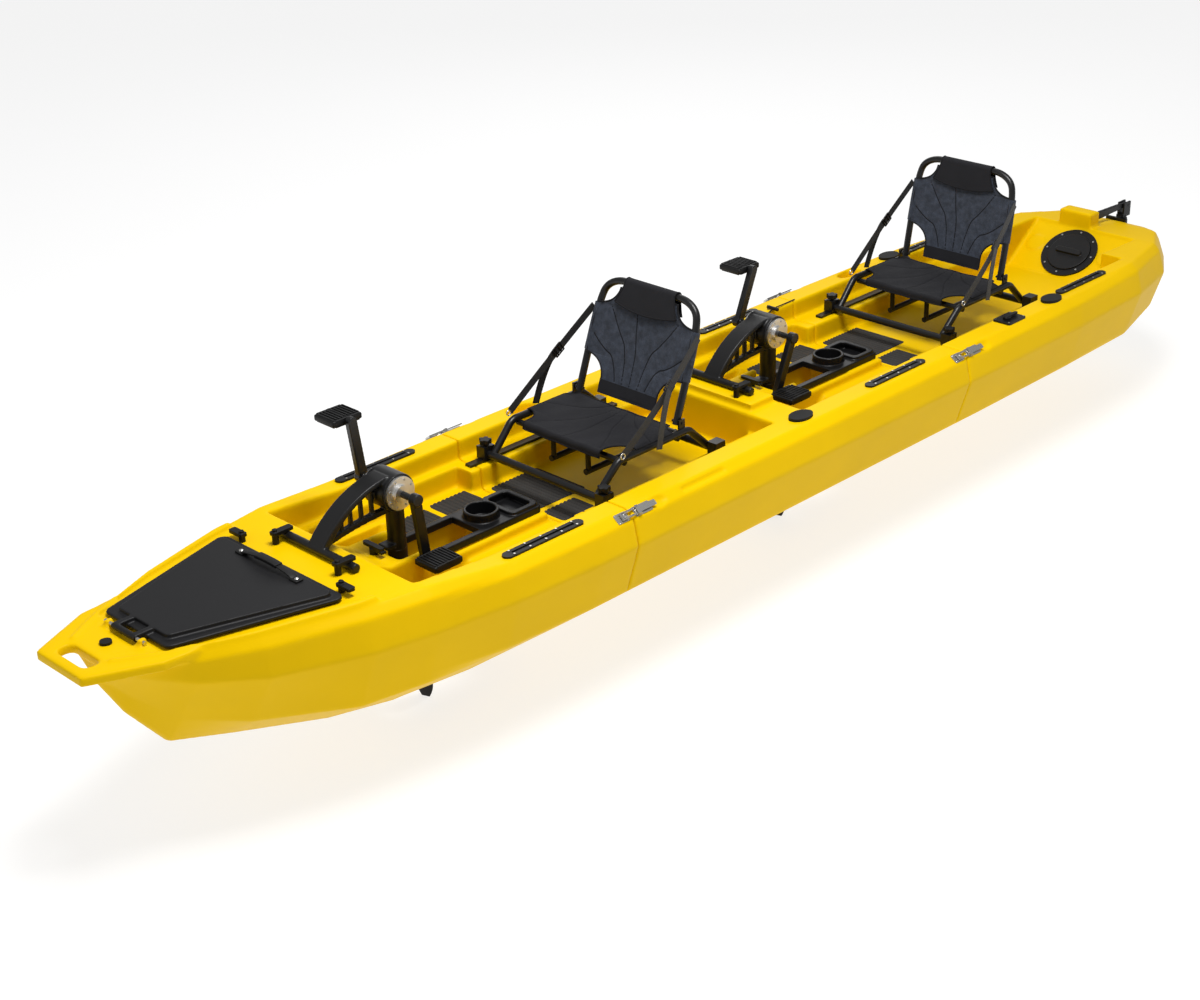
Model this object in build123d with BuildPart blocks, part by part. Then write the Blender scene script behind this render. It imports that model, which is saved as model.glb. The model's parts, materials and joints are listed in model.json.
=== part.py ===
"""Two-seat pedal kayak in three hull modules, with two drives, two chairs, a bow hatch and a rudder.

Millimetres. +X points to the bow, +Y to port and +Z up. The origin is on the flat bottom of the
hull, amidships, so the keel plane is Z = 0 and the drives reach below it.
"""

import os
from math import cos, radians, sin

from build123d import *

os.makedirs("parts", exist_ok=True)

# ---------------------------------------------------------------- hull
seam_x = 750.0  # each end of the middle module
module_pitch = 1500.0  # one cockpit to the next
bow_x = 2250.0
stern_x = -2250.0
wall = 4.5
gunwale_z = 380.0
half_beam = 420.0
chine_z = 283.0
bilge_half = 372.0
bilge_z = 130.0
bottom_half = 200.0
bevel_top_half = 372.0
bevel_drop = 24.0
bevel_run = 32.0
bow_deck_z = 402.0
handle_thickness = 26.0

# ---------------------------------------------------------------- cockpits
cockpit_half = 298.0
floor_half = 270.0
floor_z = 255.0
ledge_z = 320.0
ledge_half = 205.0
ledge_front_x = 788.0
well_front_x = 1430.0
well_z = 150.0
tunnel_half = 92.0
tunnel_z = 285.0
ridge_z = 335.0
slot_half = 72.0
slot_front_x = 1290.0
slot_rear_x = 930.0
tank_floor_z = 235.0
tank_rear_x = -1860.0
tank_front_x = -1430.0
hatch_radius = 104.0
tank_run = hatch_radius * 89 / 52  # the slope is as long as the hatch ring needs
slope_rise = 0.7265
bulkhead_front_x = 60.0

# ---------------------------------------------------------------- bow hatch
lid_rear_x = 1600.0
lid_front_x = 2040.0
lid_rear_half = 255.0
lid_front_half = 132.0
lid_flange = 9.0
lid_panel = 11.0
lid_step = 22.0
seal_height = 5.0
seal_width = 14.0
hinge_x = 2066.0
hinge_pin_radius = 5.0
hatch_well_inset = 34.0

# ---------------------------------------------------------------- drives
bar_x = 1492.0
bar_radius = 12.5
bar_half = 158.0
axle_x = 1250.0
axle_z = 502.0
head_radius = 52.0
head_half = 44.0
column_x = 1235.0
column_radius = 25.0
leg_chord = 62.0
leg_width = 34.0
leg_wall = 4.5
prop_x = 1178.0
prop_z = -70.0
prop_radius = 90.0
case_radius = 23.0
crank_length = 165.0
crank_angles = (7.0, -23.0)
arm_inner = 98.0
arm_thickness = 18.0
pedal_width = 84.0
pedal_length = 96.0
pedal_thickness = 24.0
spindle_radius = 6.0
axle_radius = 9.0
shaft_radius = 6.0
running_gap = 0.05

# ---------------------------------------------------------------- tray
tray_half = 76.0
tray_front_x = 1190.0
tray_rear_x = 778.0
tray_depth = 20.0
cup_x = 938.0
cup_radius = 50.0
cup_bore = 41.0
cup_height = 44.0

# ---------------------------------------------------------------- chairs
tube_radius = 11.0
bar_tube_radius = 12.0
seat_front_x = 615.0
seat_rear_x = 334.0
seat_z = 425.0
seat_half = 215.0
seat_foot_x = 700.0
seat_rear_foot_x = 242.0
seat_shift = 1577.0
back_height = 340.0
back_half = 186.0
back_recline = (20.0, 11.0)
foot_z = 341.0
sling_length = 244.0
sling_inset = 1.0
rail_half = 240.0
rail_width = 24.0
rail_height = 8.0
clamp_half = 246.0
fabric_thickness = 4.0

# ---------------------------------------------------------------- deck gear
track_length = 281.0
track_width = 32.0
track_height = 6.0
track_places = ((1024.0, 340.0), (-464.0, 340.0), (-1515.0, 320.0))
screw_radius = 3.0
toggle_length = 72.0
lock_handle_length = 78.0
rod_hole_radius = 22.0
rod_hole_depth = 150.0
rod_holes = ((-21.0, 334.0), (-1312.0, 336.0), (-1312.0, -336.0))
steering_x = -1072.0
steering_y = 336.0
hatch_opening = 80.0
hatch_slope = 36.0
rudder_x = -2290.0
rudder_z = 398.0
clearance = 0.4


def save(piece, label):
    """Label a finished piece and write its STEP file."""
    piece.label = label
    export_step(piece, f"parts/{label}.step")


# ================================================================ hull sections
# One row per station: x, keel z, bottom half width, bottom z, bilge half width, bilge z,
# chine half width, chine z, gunwale half width at the top of its bevel, gunwale z.
bow_stations = [
    (seam_x, 0, bottom_half, 0, bilge_half, bilge_z, half_beam, chine_z, bevel_top_half, gunwale_z),
    (880, 0, bottom_half, 0, bilge_half, bilge_z, half_beam, chine_z, bevel_top_half, gunwale_z),
    (1180, 0, 192, 0, 356, 128, 406, 284, 364, gunwale_z),
    (1420, 2, 166, 4, 322, 120, 378, 287, 338, bow_deck_z),
    (1600, 10, 122, 14, 276, 112, 344, 290, 306, bow_deck_z),
    (1850, 52, 52, 56, 168, 140, 262, 300, 236, bow_deck_z),
    (2000, 84, 20, 90, 84, 180, 182, 320, 172, bow_deck_z),
    (2100, 210, 12, 216, 40, 270, 116, 350, 122, bow_deck_z),
    (2160, 318, 8, 322, 22, 336, 64, 366, 84, bow_deck_z),
]
mid_stations = [
    (-seam_x, 0, bottom_half, 0, bilge_half, bilge_z, half_beam, chine_z, bevel_top_half, gunwale_z),
    (seam_x, 0, bottom_half, 0, bilge_half, bilge_z, half_beam, chine_z, bevel_top_half, gunwale_z),
]
stern_stations = [
    (stern_x, 205, 70, 210, 130, 232, 160, 275, 120, 350),
    (-2200, 140, 120, 146, 205, 190, 240, 275, 196, 362),
    (-2050, 36, 160, 42, 286, 140, 330, 275, 280, 374),
    (-1800, 2, 190, 6, 338, 118, 390, 280, 340, gunwale_z),
    (-1400, 0, bottom_half, 0, 366, bilge_z, 412, chine_z, 366, gunwale_z),
    (-880, 0, bottom_half, 0, bilge_half, bilge_z, half_beam, chine_z, bevel_top_half, gunwale_z),
    (-seam_x, 0, bottom_half, 0, bilge_half, bilge_z, half_beam, chine_z, bevel_top_half, gunwale_z),
]


def section_points(station, inset):
    """Closed outline of one hull section, brought in by the inset."""
    x, keel, bottom, bottom_z, bilge, low_z, chine, mid_z, top, top_z = station
    right = [
        (0, keel + inset),
        (max(bottom - inset, 2), bottom_z + inset),
        (max(bilge - inset, 4), low_z + inset * 0.3),
        (max(chine - inset, 6), mid_z),
        (max(top + bevel_run * top / bevel_top_half - inset, 5), top_z - bevel_drop),
        (max(top - inset, 3), top_z - inset),
    ]
    left = [(-y, z) for y, z in reversed(right[1:])]
    return right + left


def hull_body(stations, inset):
    """Solid between the stations, faceted along its length."""
    with BuildPart() as body:
        for span in zip(stations, stations[1:]):
            for station in span:
                with BuildSketch(Plane.YZ.offset(station[0])):
                    with BuildLine():
                        Polyline(*section_points(station, inset), close=True)
                    make_face()
            loft(ruled=True)
    return body.part


def shorten(stations, low_cut, high_cut):
    """The same stations with the two ends drawn in, for the hollow inside."""
    rows = [list(row) for row in stations]
    rows[0][0] += low_cut
    rows[-1][0] -= high_cut
    return [tuple(row) for row in rows]


def prism_xz(points, y_low, y_high):
    """A shape drawn in the side view and extruded across the hull."""
    with BuildPart() as prism:
        with BuildSketch(Plane.XZ.offset(-y_high)):
            with BuildLine():
                Polyline(*points, close=True)
            make_face()
        extrude(amount=y_high - y_low)
    return prism.part


def block(x_low, x_high, y_low, y_high, z_low, z_high):
    """A plain block between two corners."""
    with BuildPart() as box:
        with Locations(((x_low + x_high) / 2, (y_low + y_high) / 2, (z_low + z_high) / 2)):
            Box(x_high - x_low, y_high - y_low, z_high - z_low)
    return box.part


def cockpit(shift, grow):
    """The foot end of a cockpit: wells each side of the drive tunnel, and the slot in the tunnel."""
    g = grow
    top = gunwale_z + 60
    upper = block(seam_x - 10 + shift, well_front_x + g + shift, -cockpit_half - g, cockpit_half + g,
                  ledge_z - g, top)
    lower = block(ledge_front_x - g + shift, 1330 + g + shift, -floor_half - g, floor_half + g,
                  floor_z - g, top)
    entry = block(seam_x - 10 + shift, ledge_front_x + 20 + shift, -ledge_half - g, ledge_half + g,
                  floor_z - g, top)
    slope = [
        (well_front_x + g + shift, top),
        (well_front_x + g + shift, well_z - g),
        (1180 - g + shift, well_z - g),
        (1075 - g + shift, floor_z),
        (1075 - g + shift, top),
    ]
    wells = prism_xz(slope, -252 - g, 252 + g)
    ridge = [
        (tray_rear_x - 6 + g + shift, well_z - 40),
        (tray_rear_x - 6 + g + shift, tunnel_z - g),
        (1196 + g + shift, tunnel_z - g),
        (1200 + g + shift, ridge_z - g),
        (1335 + shift, ridge_z - g),
        (well_front_x + 40 + shift, bow_deck_z - g),
        (well_front_x + 40 + shift, well_z - 40),
    ]
    tunnel = prism_xz(ridge, -tunnel_half + g, tunnel_half - g)
    slot = block(slot_rear_x - g + shift, slot_front_x + g + shift, -slot_half - g, slot_half + g,
                 -20, ridge_z + 20)
    return (upper + lower + entry + wells) - tunnel + slot


def seat_bay(x_low, x_high, grow):
    """The seat end of a cockpit: a floor between two side ledges."""
    g = grow
    top = gunwale_z + 60
    upper = block(x_low - g, x_high, -cockpit_half - g, cockpit_half + g, ledge_z - g, top)
    lower = block(x_low - g, x_high, -ledge_half - g, ledge_half + g, floor_z - g, top)
    return upper + lower


def rod_holder(x, y, grow):
    """A blind socket for a fishing rod."""
    with BuildPart() as socket:
        with Locations((x, y, gunwale_z + 20)):
            Cylinder(rod_hole_radius + grow, rod_hole_depth + 20 + grow,
                     align=(Align.CENTER, Align.CENTER, Align.MAX))
    return socket.part


def hatch_well(grow):
    """The dry locker below the bow lid."""
    g = grow
    rear_half = lid_rear_half - hatch_well_inset + g
    front_half = lid_front_half - hatch_well_inset + g
    with BuildPart() as well:
        with BuildSketch(Plane.YZ.offset(lid_rear_x + hatch_well_inset - g)):
            with BuildLine():
                Polyline((-rear_half, 130 - g), (rear_half, 130 - g), (rear_half, 460),
                         (-rear_half, 460), close=True)
            make_face()
        with BuildSketch(Plane.YZ.offset(lid_front_x - hatch_well_inset + g)):
            with BuildLine():
                Polyline((-front_half, 262 - g), (front_half, 262 - g), (front_half, 460),
                         (-front_half, 460), close=True)
            make_face()
        loft(ruled=True)
    return well.part


hatch_centre_x = tank_rear_x - tank_run / 2
hatch_centre_z = tank_floor_z + tank_run / 2 * slope_rise
hatch_plane = Plane(
    origin=(hatch_centre_x, 0, hatch_centre_z),
    x_dir=(0, 1, 0),
    z_dir=(slope_rise, 0, 1),
)


def tank(grow):
    """The open space behind the rear chair, with the slope that carries the round hatch."""
    g = grow
    top = gunwale_z + 60
    deep = [
        (tank_front_x + g, top),
        (tank_front_x + g, tank_floor_z - g),
        (tank_rear_x - g * 0.5, tank_floor_z - g),
        (tank_rear_x - tank_run - g * 0.5, tank_floor_z + tank_run * slope_rise - g * 0.5),
        (tank_rear_x - tank_run - g, top),
    ]
    side = block(-1820 - g, tank_front_x + g, -cockpit_half + 8 - g, cockpit_half - 8 + g, ledge_z - g, top)
    return prism_xz(deep, -ledge_half - g, ledge_half + g) + side


def hatch_bore(radius, depth):
    """A round hole square to the hatch slope."""
    with BuildPart() as bore:
        with BuildSketch(hatch_plane.offset(-depth)):
            Circle(radius)
        extrude(amount=depth + 20)
    return bore.part


# ================================================================ bow module
bow_cut = cockpit(0, 0) + hatch_well(0)
bow_keep = cockpit(0, wall) + hatch_well(wall)
bow_inner = hull_body(shorten(bow_stations[:-1], wall, 30), wall)
bow_outer = hull_body(bow_stations, 0)

with BuildPart() as bow_void:
    add(bow_inner)
    add(bow_keep, mode=Mode.SUBTRACT)

with BuildPart() as bow_hull:
    add(bow_outer)
    with BuildSketch(Plane.XY.offset(bow_deck_z + 8 - handle_thickness)):
        with BuildLine():
            Polyline((1980, -186), (2080, -176), (bow_x, -96), (bow_x, 96), (2080, 176),
                     (1980, 186), close=True)
        make_face()
    extrude(amount=handle_thickness)
    add(bow_void.part, mode=Mode.SUBTRACT)
    add(bow_cut, mode=Mode.SUBTRACT)
    with BuildSketch(Plane.XY.offset(300)):
        with Locations((2196, 0)):
            RectangleRounded(46, 128, 20)
    extrude(amount=200, mode=Mode.SUBTRACT)
    # the lid lies in a shallow step in the raised bow deck
    with BuildSketch(Plane.XY.offset(bow_deck_z)):
        with BuildLine():
            Polyline((1900, -160), (2052, -140), (2052, 140), (1900, 160), close=True)
        make_face()
        with Locations((hinge_x - 4, 0)):
            Rectangle(44, 114)
    extrude(amount=20, mode=Mode.SUBTRACT)
    # two lugs that carry the hinge pin
    with Locations(*[(hinge_x, y, bow_deck_z + 9) for y in (-70, 70)]):
        Box(22, 16, 34)
    with Locations(Location((hinge_x, 0, bow_deck_z + 16), (90, 0, 0))):
        Cylinder(hinge_pin_radius + running_gap, 400, mode=Mode.SUBTRACT)
save(bow_hull.part, "bow_hull")

# ================================================================ middle module
mid_cut = cockpit(-module_pitch, 0) + seat_bay(bulkhead_front_x, seam_x + 10, 0)
mid_keep = cockpit(-module_pitch, wall) + seat_bay(bulkhead_front_x, seam_x + 10, wall)
mid_inner = hull_body(shorten(mid_stations, wall, wall), wall)
mid_outer = hull_body(mid_stations, 0)
mid_socket = rod_holder(*rod_holes[0], 0)
mid_socket_wall = rod_holder(*rod_holes[0], wall)

with BuildPart() as mid_void:
    add(mid_inner)
    add(mid_keep, mode=Mode.SUBTRACT)
    add(mid_socket_wall, mode=Mode.SUBTRACT)

with BuildPart() as mid_hull:
    add(mid_outer)
    # a raised pad on the bulkhead, level with the bow deck, carries the second drive's bar
    with Locations((bar_x - module_pitch, 0, (gunwale_z + bow_deck_z) / 2)):
        Box(104, 400, bow_deck_z - gunwale_z)
    add(mid_void.part, mode=Mode.SUBTRACT)
    add(mid_cut, mode=Mode.SUBTRACT)
    add(mid_socket, mode=Mode.SUBTRACT)
save(mid_hull.part, "mid_hull")

# ================================================================ stern module
stern_cut = seat_bay(-1440, -seam_x + 10, 0) + tank(0)
stern_keep = seat_bay(-1440, -seam_x + 10, wall) + tank(wall)
stern_inner = hull_body(shorten(stern_stations[1:], 10, wall), wall)
stern_outer = hull_body(stern_stations, 0)
stern_sockets = rod_holder(*rod_holes[1], 0) + rod_holder(*rod_holes[2], 0)
stern_socket_walls = rod_holder(*rod_holes[1], wall) + rod_holder(*rod_holes[2], wall)
round_bore = hatch_bore(hatch_opening - 10, 26)

with BuildPart() as stern_void:
    add(stern_inner)
    add(stern_keep, mode=Mode.SUBTRACT)
    add(stern_socket_walls, mode=Mode.SUBTRACT)

with BuildPart() as stern_hull:
    add(stern_outer)
    # raised block with a grab hole beside the centre line
    with Locations((tank_rear_x - tank_run - 28, -44, 396)):
        Box(60, 132, 64)
    add(stern_void.part, mode=Mode.SUBTRACT)
    add(stern_cut, mode=Mode.SUBTRACT)
    add(stern_sockets, mode=Mode.SUBTRACT)
    add(round_bore, mode=Mode.SUBTRACT)
save(stern_hull.part, "stern_hull")

# ================================================================ bow lid, its hinge and latches
lid_length = lid_front_x - lid_rear_x


def lid_outline(inset):
    """Plan of the lid, wider at the cockpit end."""
    return [
        (lid_rear_x + inset, -lid_rear_half + inset),
        (lid_front_x - inset, -lid_front_half + inset * 1.3),
        (lid_front_x - inset, lid_front_half - inset * 1.3),
        (lid_rear_x + inset, lid_rear_half - inset),
    ]


def lid_plate(z, inset, thickness, radius):
    """One flat layer of the lid with rounded corners."""
    with BuildPart() as plate:
        with BuildSketch(Plane.XY.offset(z)) as outline:
            with BuildLine():
                Polyline(*lid_outline(inset), close=True)
            make_face()
            fillet(outline.vertices(), radius)
        extrude(amount=thickness)
    return plate.part


lid_z = bow_deck_z + seal_height + clearance
lid_top_z = lid_z + lid_flange + lid_panel
pin_z = bow_deck_z + 16
lid_layers = lid_plate(lid_z, 0, lid_flange, 22) + lid_plate(lid_z + lid_flange, lid_step, lid_panel, 16)
seal_outer = lid_plate(bow_deck_z, 8, seal_height, 16)
seal_inner = lid_plate(bow_deck_z - 1, 8 + seal_width, seal_height + 2, 10)

with BuildPart() as lid_seal:
    add(seal_outer)
    add(seal_inner, mode=Mode.SUBTRACT)
save(lid_seal.part, "lid_seal")

with BuildPart() as hatch_lid:
    add(lid_layers)
    # two arms run forward to the hinge pin
    for y in (-40, 40):
        with BuildSketch(Plane.XZ.offset(-y + 9)):
            with BuildLine():
                Polyline((lid_front_x - 60, lid_z), (hinge_x, lid_z), (hinge_x + 9, pin_z),
                         (hinge_x, pin_z + 9), (lid_front_x - 60, pin_z + 9), close=True)
            make_face()
        extrude(amount=-18)
    with Locations(Location((hinge_x, 0, pin_z), (90, 0, 0))):
        Cylinder(9, 98)
        Cylinder(hinge_pin_radius + running_gap, 400, mode=Mode.SUBTRACT)
save(hatch_lid.part, "hatch_lid")

with BuildPart() as lid_hinge_pin:
    with Locations(Location((hinge_x, 0, pin_z), (90, 0, 0))):
        Cylinder(hinge_pin_radius, 168)
save(lid_hinge_pin.part, "lid_hinge_pin")

handle_x = lid_rear_x + 44
handle_half = 112.0
with BuildPart() as lid_handle:
    for side in (-1, 1):
        with Locations((handle_x, side * handle_half, lid_top_z + 4)):
            Box(24, 30, 8)
    with BuildSketch(Plane.YZ.offset(handle_x - 11)):
        with BuildLine():
            Polyline((-104, lid_top_z + 6), (-60, lid_top_z + 20), (60, lid_top_z + 20),
                     (104, lid_top_z + 6), (104, lid_top_z + 1), (60, lid_top_z + 14),
                     (-60, lid_top_z + 14), (-104, lid_top_z + 1), close=True)
        make_face()
    extrude(amount=22)
save(lid_handle.part, "lid_handle")

hatch_latch_x = lid_rear_x - 22
hatch_latch_y = 205.0


def swivel_latch(x, y, deck_z, grip_z, reach, heading):
    """A turning tongue on a post; the tongue grips at its height and points along the heading."""
    tongue = Plane(origin=(x, y, grip_z), x_dir=heading, z_dir=(0, 0, 1))
    with BuildPart() as latch:
        with Locations((x, y, deck_z)):
            Cylinder(9, grip_z - deck_z + 4, align=(Align.CENTER, Align.CENTER, Align.MIN))
        with BuildSketch(tongue):
            with Locations((reach / 2 - 5, 0)):
                RectangleRounded(reach + 12, 22, 5)
        extrude(amount=10)
        with BuildSketch(tongue.offset(10)):
            Circle(7)
        extrude(amount=6)
    return latch.part


for side, name in ((1, "port"), (-1, "stbd")):
    piece = swivel_latch(hatch_latch_x, side * hatch_latch_y, bow_deck_z,
                         lid_z + lid_flange + 1, 42, (0, side, 0))
    save(piece, f"hatch_latch_{name}")

# ================================================================ drives
bar_z = bow_deck_z + bar_radius + clearance
drives = ((0.0, "front"), (-module_pitch, "rear"))
bar_latch_offset = 36.0
bar_latch_reach = 52.0
bar_latch_y = 128.0


def tube_run(points, radius, bends):
    """A round tube along straight runs joined by bends."""
    with BuildPart() as run:
        with BuildLine() as path:
            FilletPolyline(*points, radius=bends)
        start = path.line @ 0
        heading = path.line % 0
        with BuildSketch(Plane(origin=start, z_dir=heading)):
            Circle(radius)
        sweep(path=path.line)
    return run.part


# place along the hull and top of each strut between the arch's web and its rib
arch_struts = ((1310, 528), (1345, 515), (1380, 499), (1412, 481))


def drive_casting(shift):
    """Arch, gear head, column, leg and tail housing: one casting, hollow for its shafts."""
    centre = (axle_x + shift, 0, axle_z)
    with BuildPart() as casting:
        # bar across the deck
        with Locations(Location((bar_x + shift, 0, bar_z), (90, 0, 0))):
            Cylinder(bar_radius, 2 * bar_half)
        # top web of the arch, bowed upwards
        with BuildSketch(Plane.XZ.offset(-30)):
            with BuildLine():
                top = ThreePointArc((bar_x + 10 + shift, bar_z + 6), (1420 + shift, 500),
                                    (axle_x + 20 + shift, axle_z + 50))
                Line(top @ 1, (axle_x + 20 + shift, axle_z + 36))
                low = ThreePointArc((axle_x + 20 + shift, axle_z + 36), (1410 + shift, 486),
                                    (bar_x - 10 + shift, bar_z - 6))
                Line(low @ 1, top @ 0)
            make_face()
        extrude(amount=60)
        # lower rib and its struts
        with BuildSketch(Plane.XZ.offset(-9)):
            with BuildLine():
                top = ThreePointArc((bar_x - 4 + shift, bar_z + 8), (1370 + shift, 446),
                                    (column_x + 10 + shift, 452))
                Line(top @ 1, (column_x + 10 + shift, 436))
                low = ThreePointArc((column_x + 10 + shift, 436), (1370 + shift, 430),
                                    (bar_x - 4 + shift, bar_z - 8))
                Line(low @ 1, top @ 0)
            make_face()
        extrude(amount=18)
        for x, top_z in arch_struts:
            with Locations((x + shift, 0, 436)):
                Box(9, 14, top_z - 436, align=(Align.CENTER, Align.CENTER, Align.MIN))
        # gear head
        with Locations(Location(centre, (90, 0, 0))):
            Cylinder(head_radius, 2 * head_half)
        # column and leg
        with BuildSketch(Plane.XY.offset(ridge_z - 10)):
            with Locations((column_x + shift, 0)):
                Circle(column_radius)
        extrude(amount=axle_z - ridge_z)
        with BuildSketch(Plane.XY.offset(prop_z)):
            with Locations((column_x + shift, 0)):
                Ellipse(leg_chord / 2, leg_width / 2)
        extrude(amount=ridge_z - 8 - prop_z)
        # tail housing
        with BuildSketch(Plane.XZ):
            with BuildLine():
                Polyline(
                    (column_x - 42 + shift, prop_z),
                    (column_x - 42 + shift, prop_z + case_radius - 4),
                    (column_x - 36 + shift, prop_z + case_radius),
                    (column_x + 22 + shift, prop_z + case_radius),
                    (column_x + 38 + shift, prop_z + case_radius - 6),
                    (column_x + 47 + shift, prop_z + case_radius - 15),
                    (column_x + 50 + shift, prop_z),
                    close=True,
                )
            make_face()
        revolve(axis=Axis((column_x, 0, prop_z), (1, 0, 0)))
        # foot lug that the lock holds down
        with Locations((column_x + 34 + shift, 0, ridge_z + 6)):
            Box(30, 40, 11)
        # bores for the crank axle, the upright shaft and the tail shaft
        with Locations(Location(centre, (90, 0, 0))):
            Cylinder(head_radius - leg_wall, 2 * (head_half - leg_wall), mode=Mode.SUBTRACT)
            Cylinder(axle_radius + running_gap, 200, mode=Mode.SUBTRACT)
        with Locations((column_x + shift, 0, prop_z - 4)):
            Cylinder(shaft_radius + 4, axle_z - prop_z - 20,
                     align=(Align.CENTER, Align.CENTER, Align.MIN), mode=Mode.SUBTRACT)
        with Locations(Location((column_x - 100 + shift, 0, prop_z), (0, 90, 0))):
            Cylinder(shaft_radius + running_gap, 80, align=(Align.CENTER, Align.CENTER, Align.MIN),
                     mode=Mode.SUBTRACT)
        with Locations(Location((column_x - 24 + shift, 0, prop_z), (0, 90, 0))):
            Cylinder(case_radius - leg_wall, 46, align=(Align.CENTER, Align.CENTER, Align.MIN),
                     mode=Mode.SUBTRACT)
    return casting.part


def gear_covers(shift):
    """The two bright covers of the gear head."""
    centre = (axle_x + shift, 0, axle_z)
    with BuildPart() as covers:
        for side in (-1, 1):
            face = Plane(origin=(axle_x + shift, side * head_half, axle_z), z_dir=(0, side, 0))
            with BuildSketch(face):
                Circle(head_radius - 6)
            extrude(amount=7)
            with BuildSketch(face.offset(7)):
                Circle(24)
            extrude(amount=8)
        with Locations(Location(centre, (90, 0, 0))):
            Cylinder(axle_radius + running_gap, 200, mode=Mode.SUBTRACT)
    return covers.part


def crank_end(shift, angle, side):
    """Centre of the pedal spindle where it leaves the arm's inner face."""
    lean = radians(angle)
    reach = -side * crank_length
    return Vector(axle_x + shift + reach * sin(lean), side * arm_inner, axle_z + reach * cos(lean))


def crank_set(shift, angle):
    """Axle with its bevel wheel, two arms half a turn apart and the pedal spindles."""
    with BuildPart() as crank:
        with Locations(Location((axle_x + shift, 0, axle_z), (90, 0, 0))):
            Cylinder(axle_radius, 2 * (arm_inner + arm_thickness))
        with Locations(Location((axle_x + shift, 24, axle_z), (90, 0, 0))):
            Cone(34, 22, 10)
        for side in (-1, 1):
            hub = Vector(axle_x + shift, side * arm_inner, axle_z)
            end = crank_end(shift, angle, side)
            with BuildSketch(Plane(origin=(hub + end) * 0.5, x_dir=end - hub, z_dir=(0, side, 0))):
                SlotCenterToCenter(crank_length, 28)
            extrude(amount=arm_thickness)
            with BuildSketch(Plane(origin=hub, x_dir=(1, 0, 0), z_dir=(0, side, 0))):
                Circle(17)
            extrude(amount=arm_thickness + 5)
            with BuildSketch(Plane(origin=end, x_dir=(1, 0, 0), z_dir=(0, side, 0))):
                Circle(spindle_radius)
            extrude(amount=arm_thickness + pedal_width + 2)
    return crank.part


def pedal(shift, angle, side):
    """A flat pedal with a grooved tread, free on its spindle."""
    end = crank_end(shift, angle, side)
    middle = end + Vector(0, side * (arm_thickness + 3 + pedal_width / 2), 0)
    with BuildPart() as body:
        with Locations(middle):
            Box(pedal_length, pedal_width, pedal_thickness)
        chamfer(body.edges().filter_by(Axis.Y), 7)
        for face in (-1, 1):
            with Locations(middle + Vector(0, 0, face * pedal_thickness / 2)):
                with GridLocations(13, 0, 6, 1):
                    Box(5, pedal_width - 14, 5, mode=Mode.SUBTRACT)
        with Locations(Location(middle, (90, 0, 0))):
            Cylinder(spindle_radius + running_gap, 2 * pedal_width, mode=Mode.SUBTRACT)
    return body.part


# height above the shaft, width, thickness and pitch of the propeller blade
blade_stations = ((10, 20, 5, 48), (52, 46, 4, 30), (prop_radius, 24, 3, 20))


def propeller(shift):
    """Two blades on a hub, with the tail shaft and its small bevel wheel."""
    with BuildPart() as prop:
        with Locations(Location((prop_x + shift, 0, prop_z), (0, 90, 0))):
            Cylinder(15, 24)
        with Locations(Location((prop_x - 18 + shift, 0, prop_z), (0, 90, 0))):
            Cone(5, 15, 12)
        with Locations(Location((prop_x + shift, 0, prop_z), (0, 90, 0))):
            Cylinder(shaft_radius, column_x - prop_x + 4, align=(Align.CENTER, Align.CENTER, Align.MIN))
        with Locations(Location((column_x - 14 + shift, 0, prop_z), (0, 90, 0))):
            Cone(13, 8, 6)
        for side in (-1, 1):
            for height, width, thickness, pitch in blade_stations:
                with BuildSketch(Plane(
                    origin=(prop_x + shift, 0, prop_z + side * height),
                    x_dir=(sin(radians(pitch)) * side, cos(radians(pitch)), 0),
                    z_dir=(0, 0, side),
                )):
                    Rectangle(width, thickness)
            loft()
    return prop.part


def upright_shaft(shift):
    """The shaft in the column, with a bevel pinion at each end."""
    low = prop_z + 15
    high = axle_z - 36
    with BuildPart() as shaft:
        with Locations((column_x + shift, 0, low)):
            Cylinder(shaft_radius, high - low, align=(Align.CENTER, Align.CENTER, Align.MIN))
        with Locations((column_x + shift, 0, high - 4)):
            Cylinder(9.5, 8)
        with Locations((column_x + shift, 0, low + 3)):
            Cylinder(9.5, 6)
    return shaft.part


def lock_lever(shift):
    """The turning T lever whose tongue holds the column's foot down."""
    x = slot_front_x + 24 + shift
    with BuildPart() as lever:
        with Locations((x, 0, ridge_z)):
            Cylinder(12, 18, align=(Align.CENTER, Align.CENTER, Align.MIN))
        with Locations((x, 20, ridge_z + 15.5)):
            Box(16, 44, 7)
        with BuildSketch(Plane(origin=(x, 0, ridge_z + 18), x_dir=(1, 0, 0), z_dir=(0, 0, 1))):
            SlotOverall(lock_handle_length, 16, rotation=90)
        extrude(amount=9)
    return lever.part


for (shift, name), angle in zip(drives, crank_angles):
    save(drive_casting(shift), f"drive_casting_{name}")
    save(gear_covers(shift), f"gear_covers_{name}")
    save(crank_set(shift, angle), f"crank_{name}")
    save(upright_shaft(shift), f"drive_shaft_{name}")
    save(propeller(shift), f"propeller_{name}")
    save(lock_lever(shift), f"drive_lock_{name}")
    for side, hand in ((1, "port"), (-1, "stbd")):
        save(pedal(shift, angle, side), f"pedal_{name}_{hand}")
        latch = swivel_latch(bar_x + bar_latch_offset + shift, side * bar_latch_y, bow_deck_z,
                             bar_z + bar_radius + clearance, bar_latch_reach, (-1, 0, 0))
        save(latch, f"bar_latch_{name}_{hand}")

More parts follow.
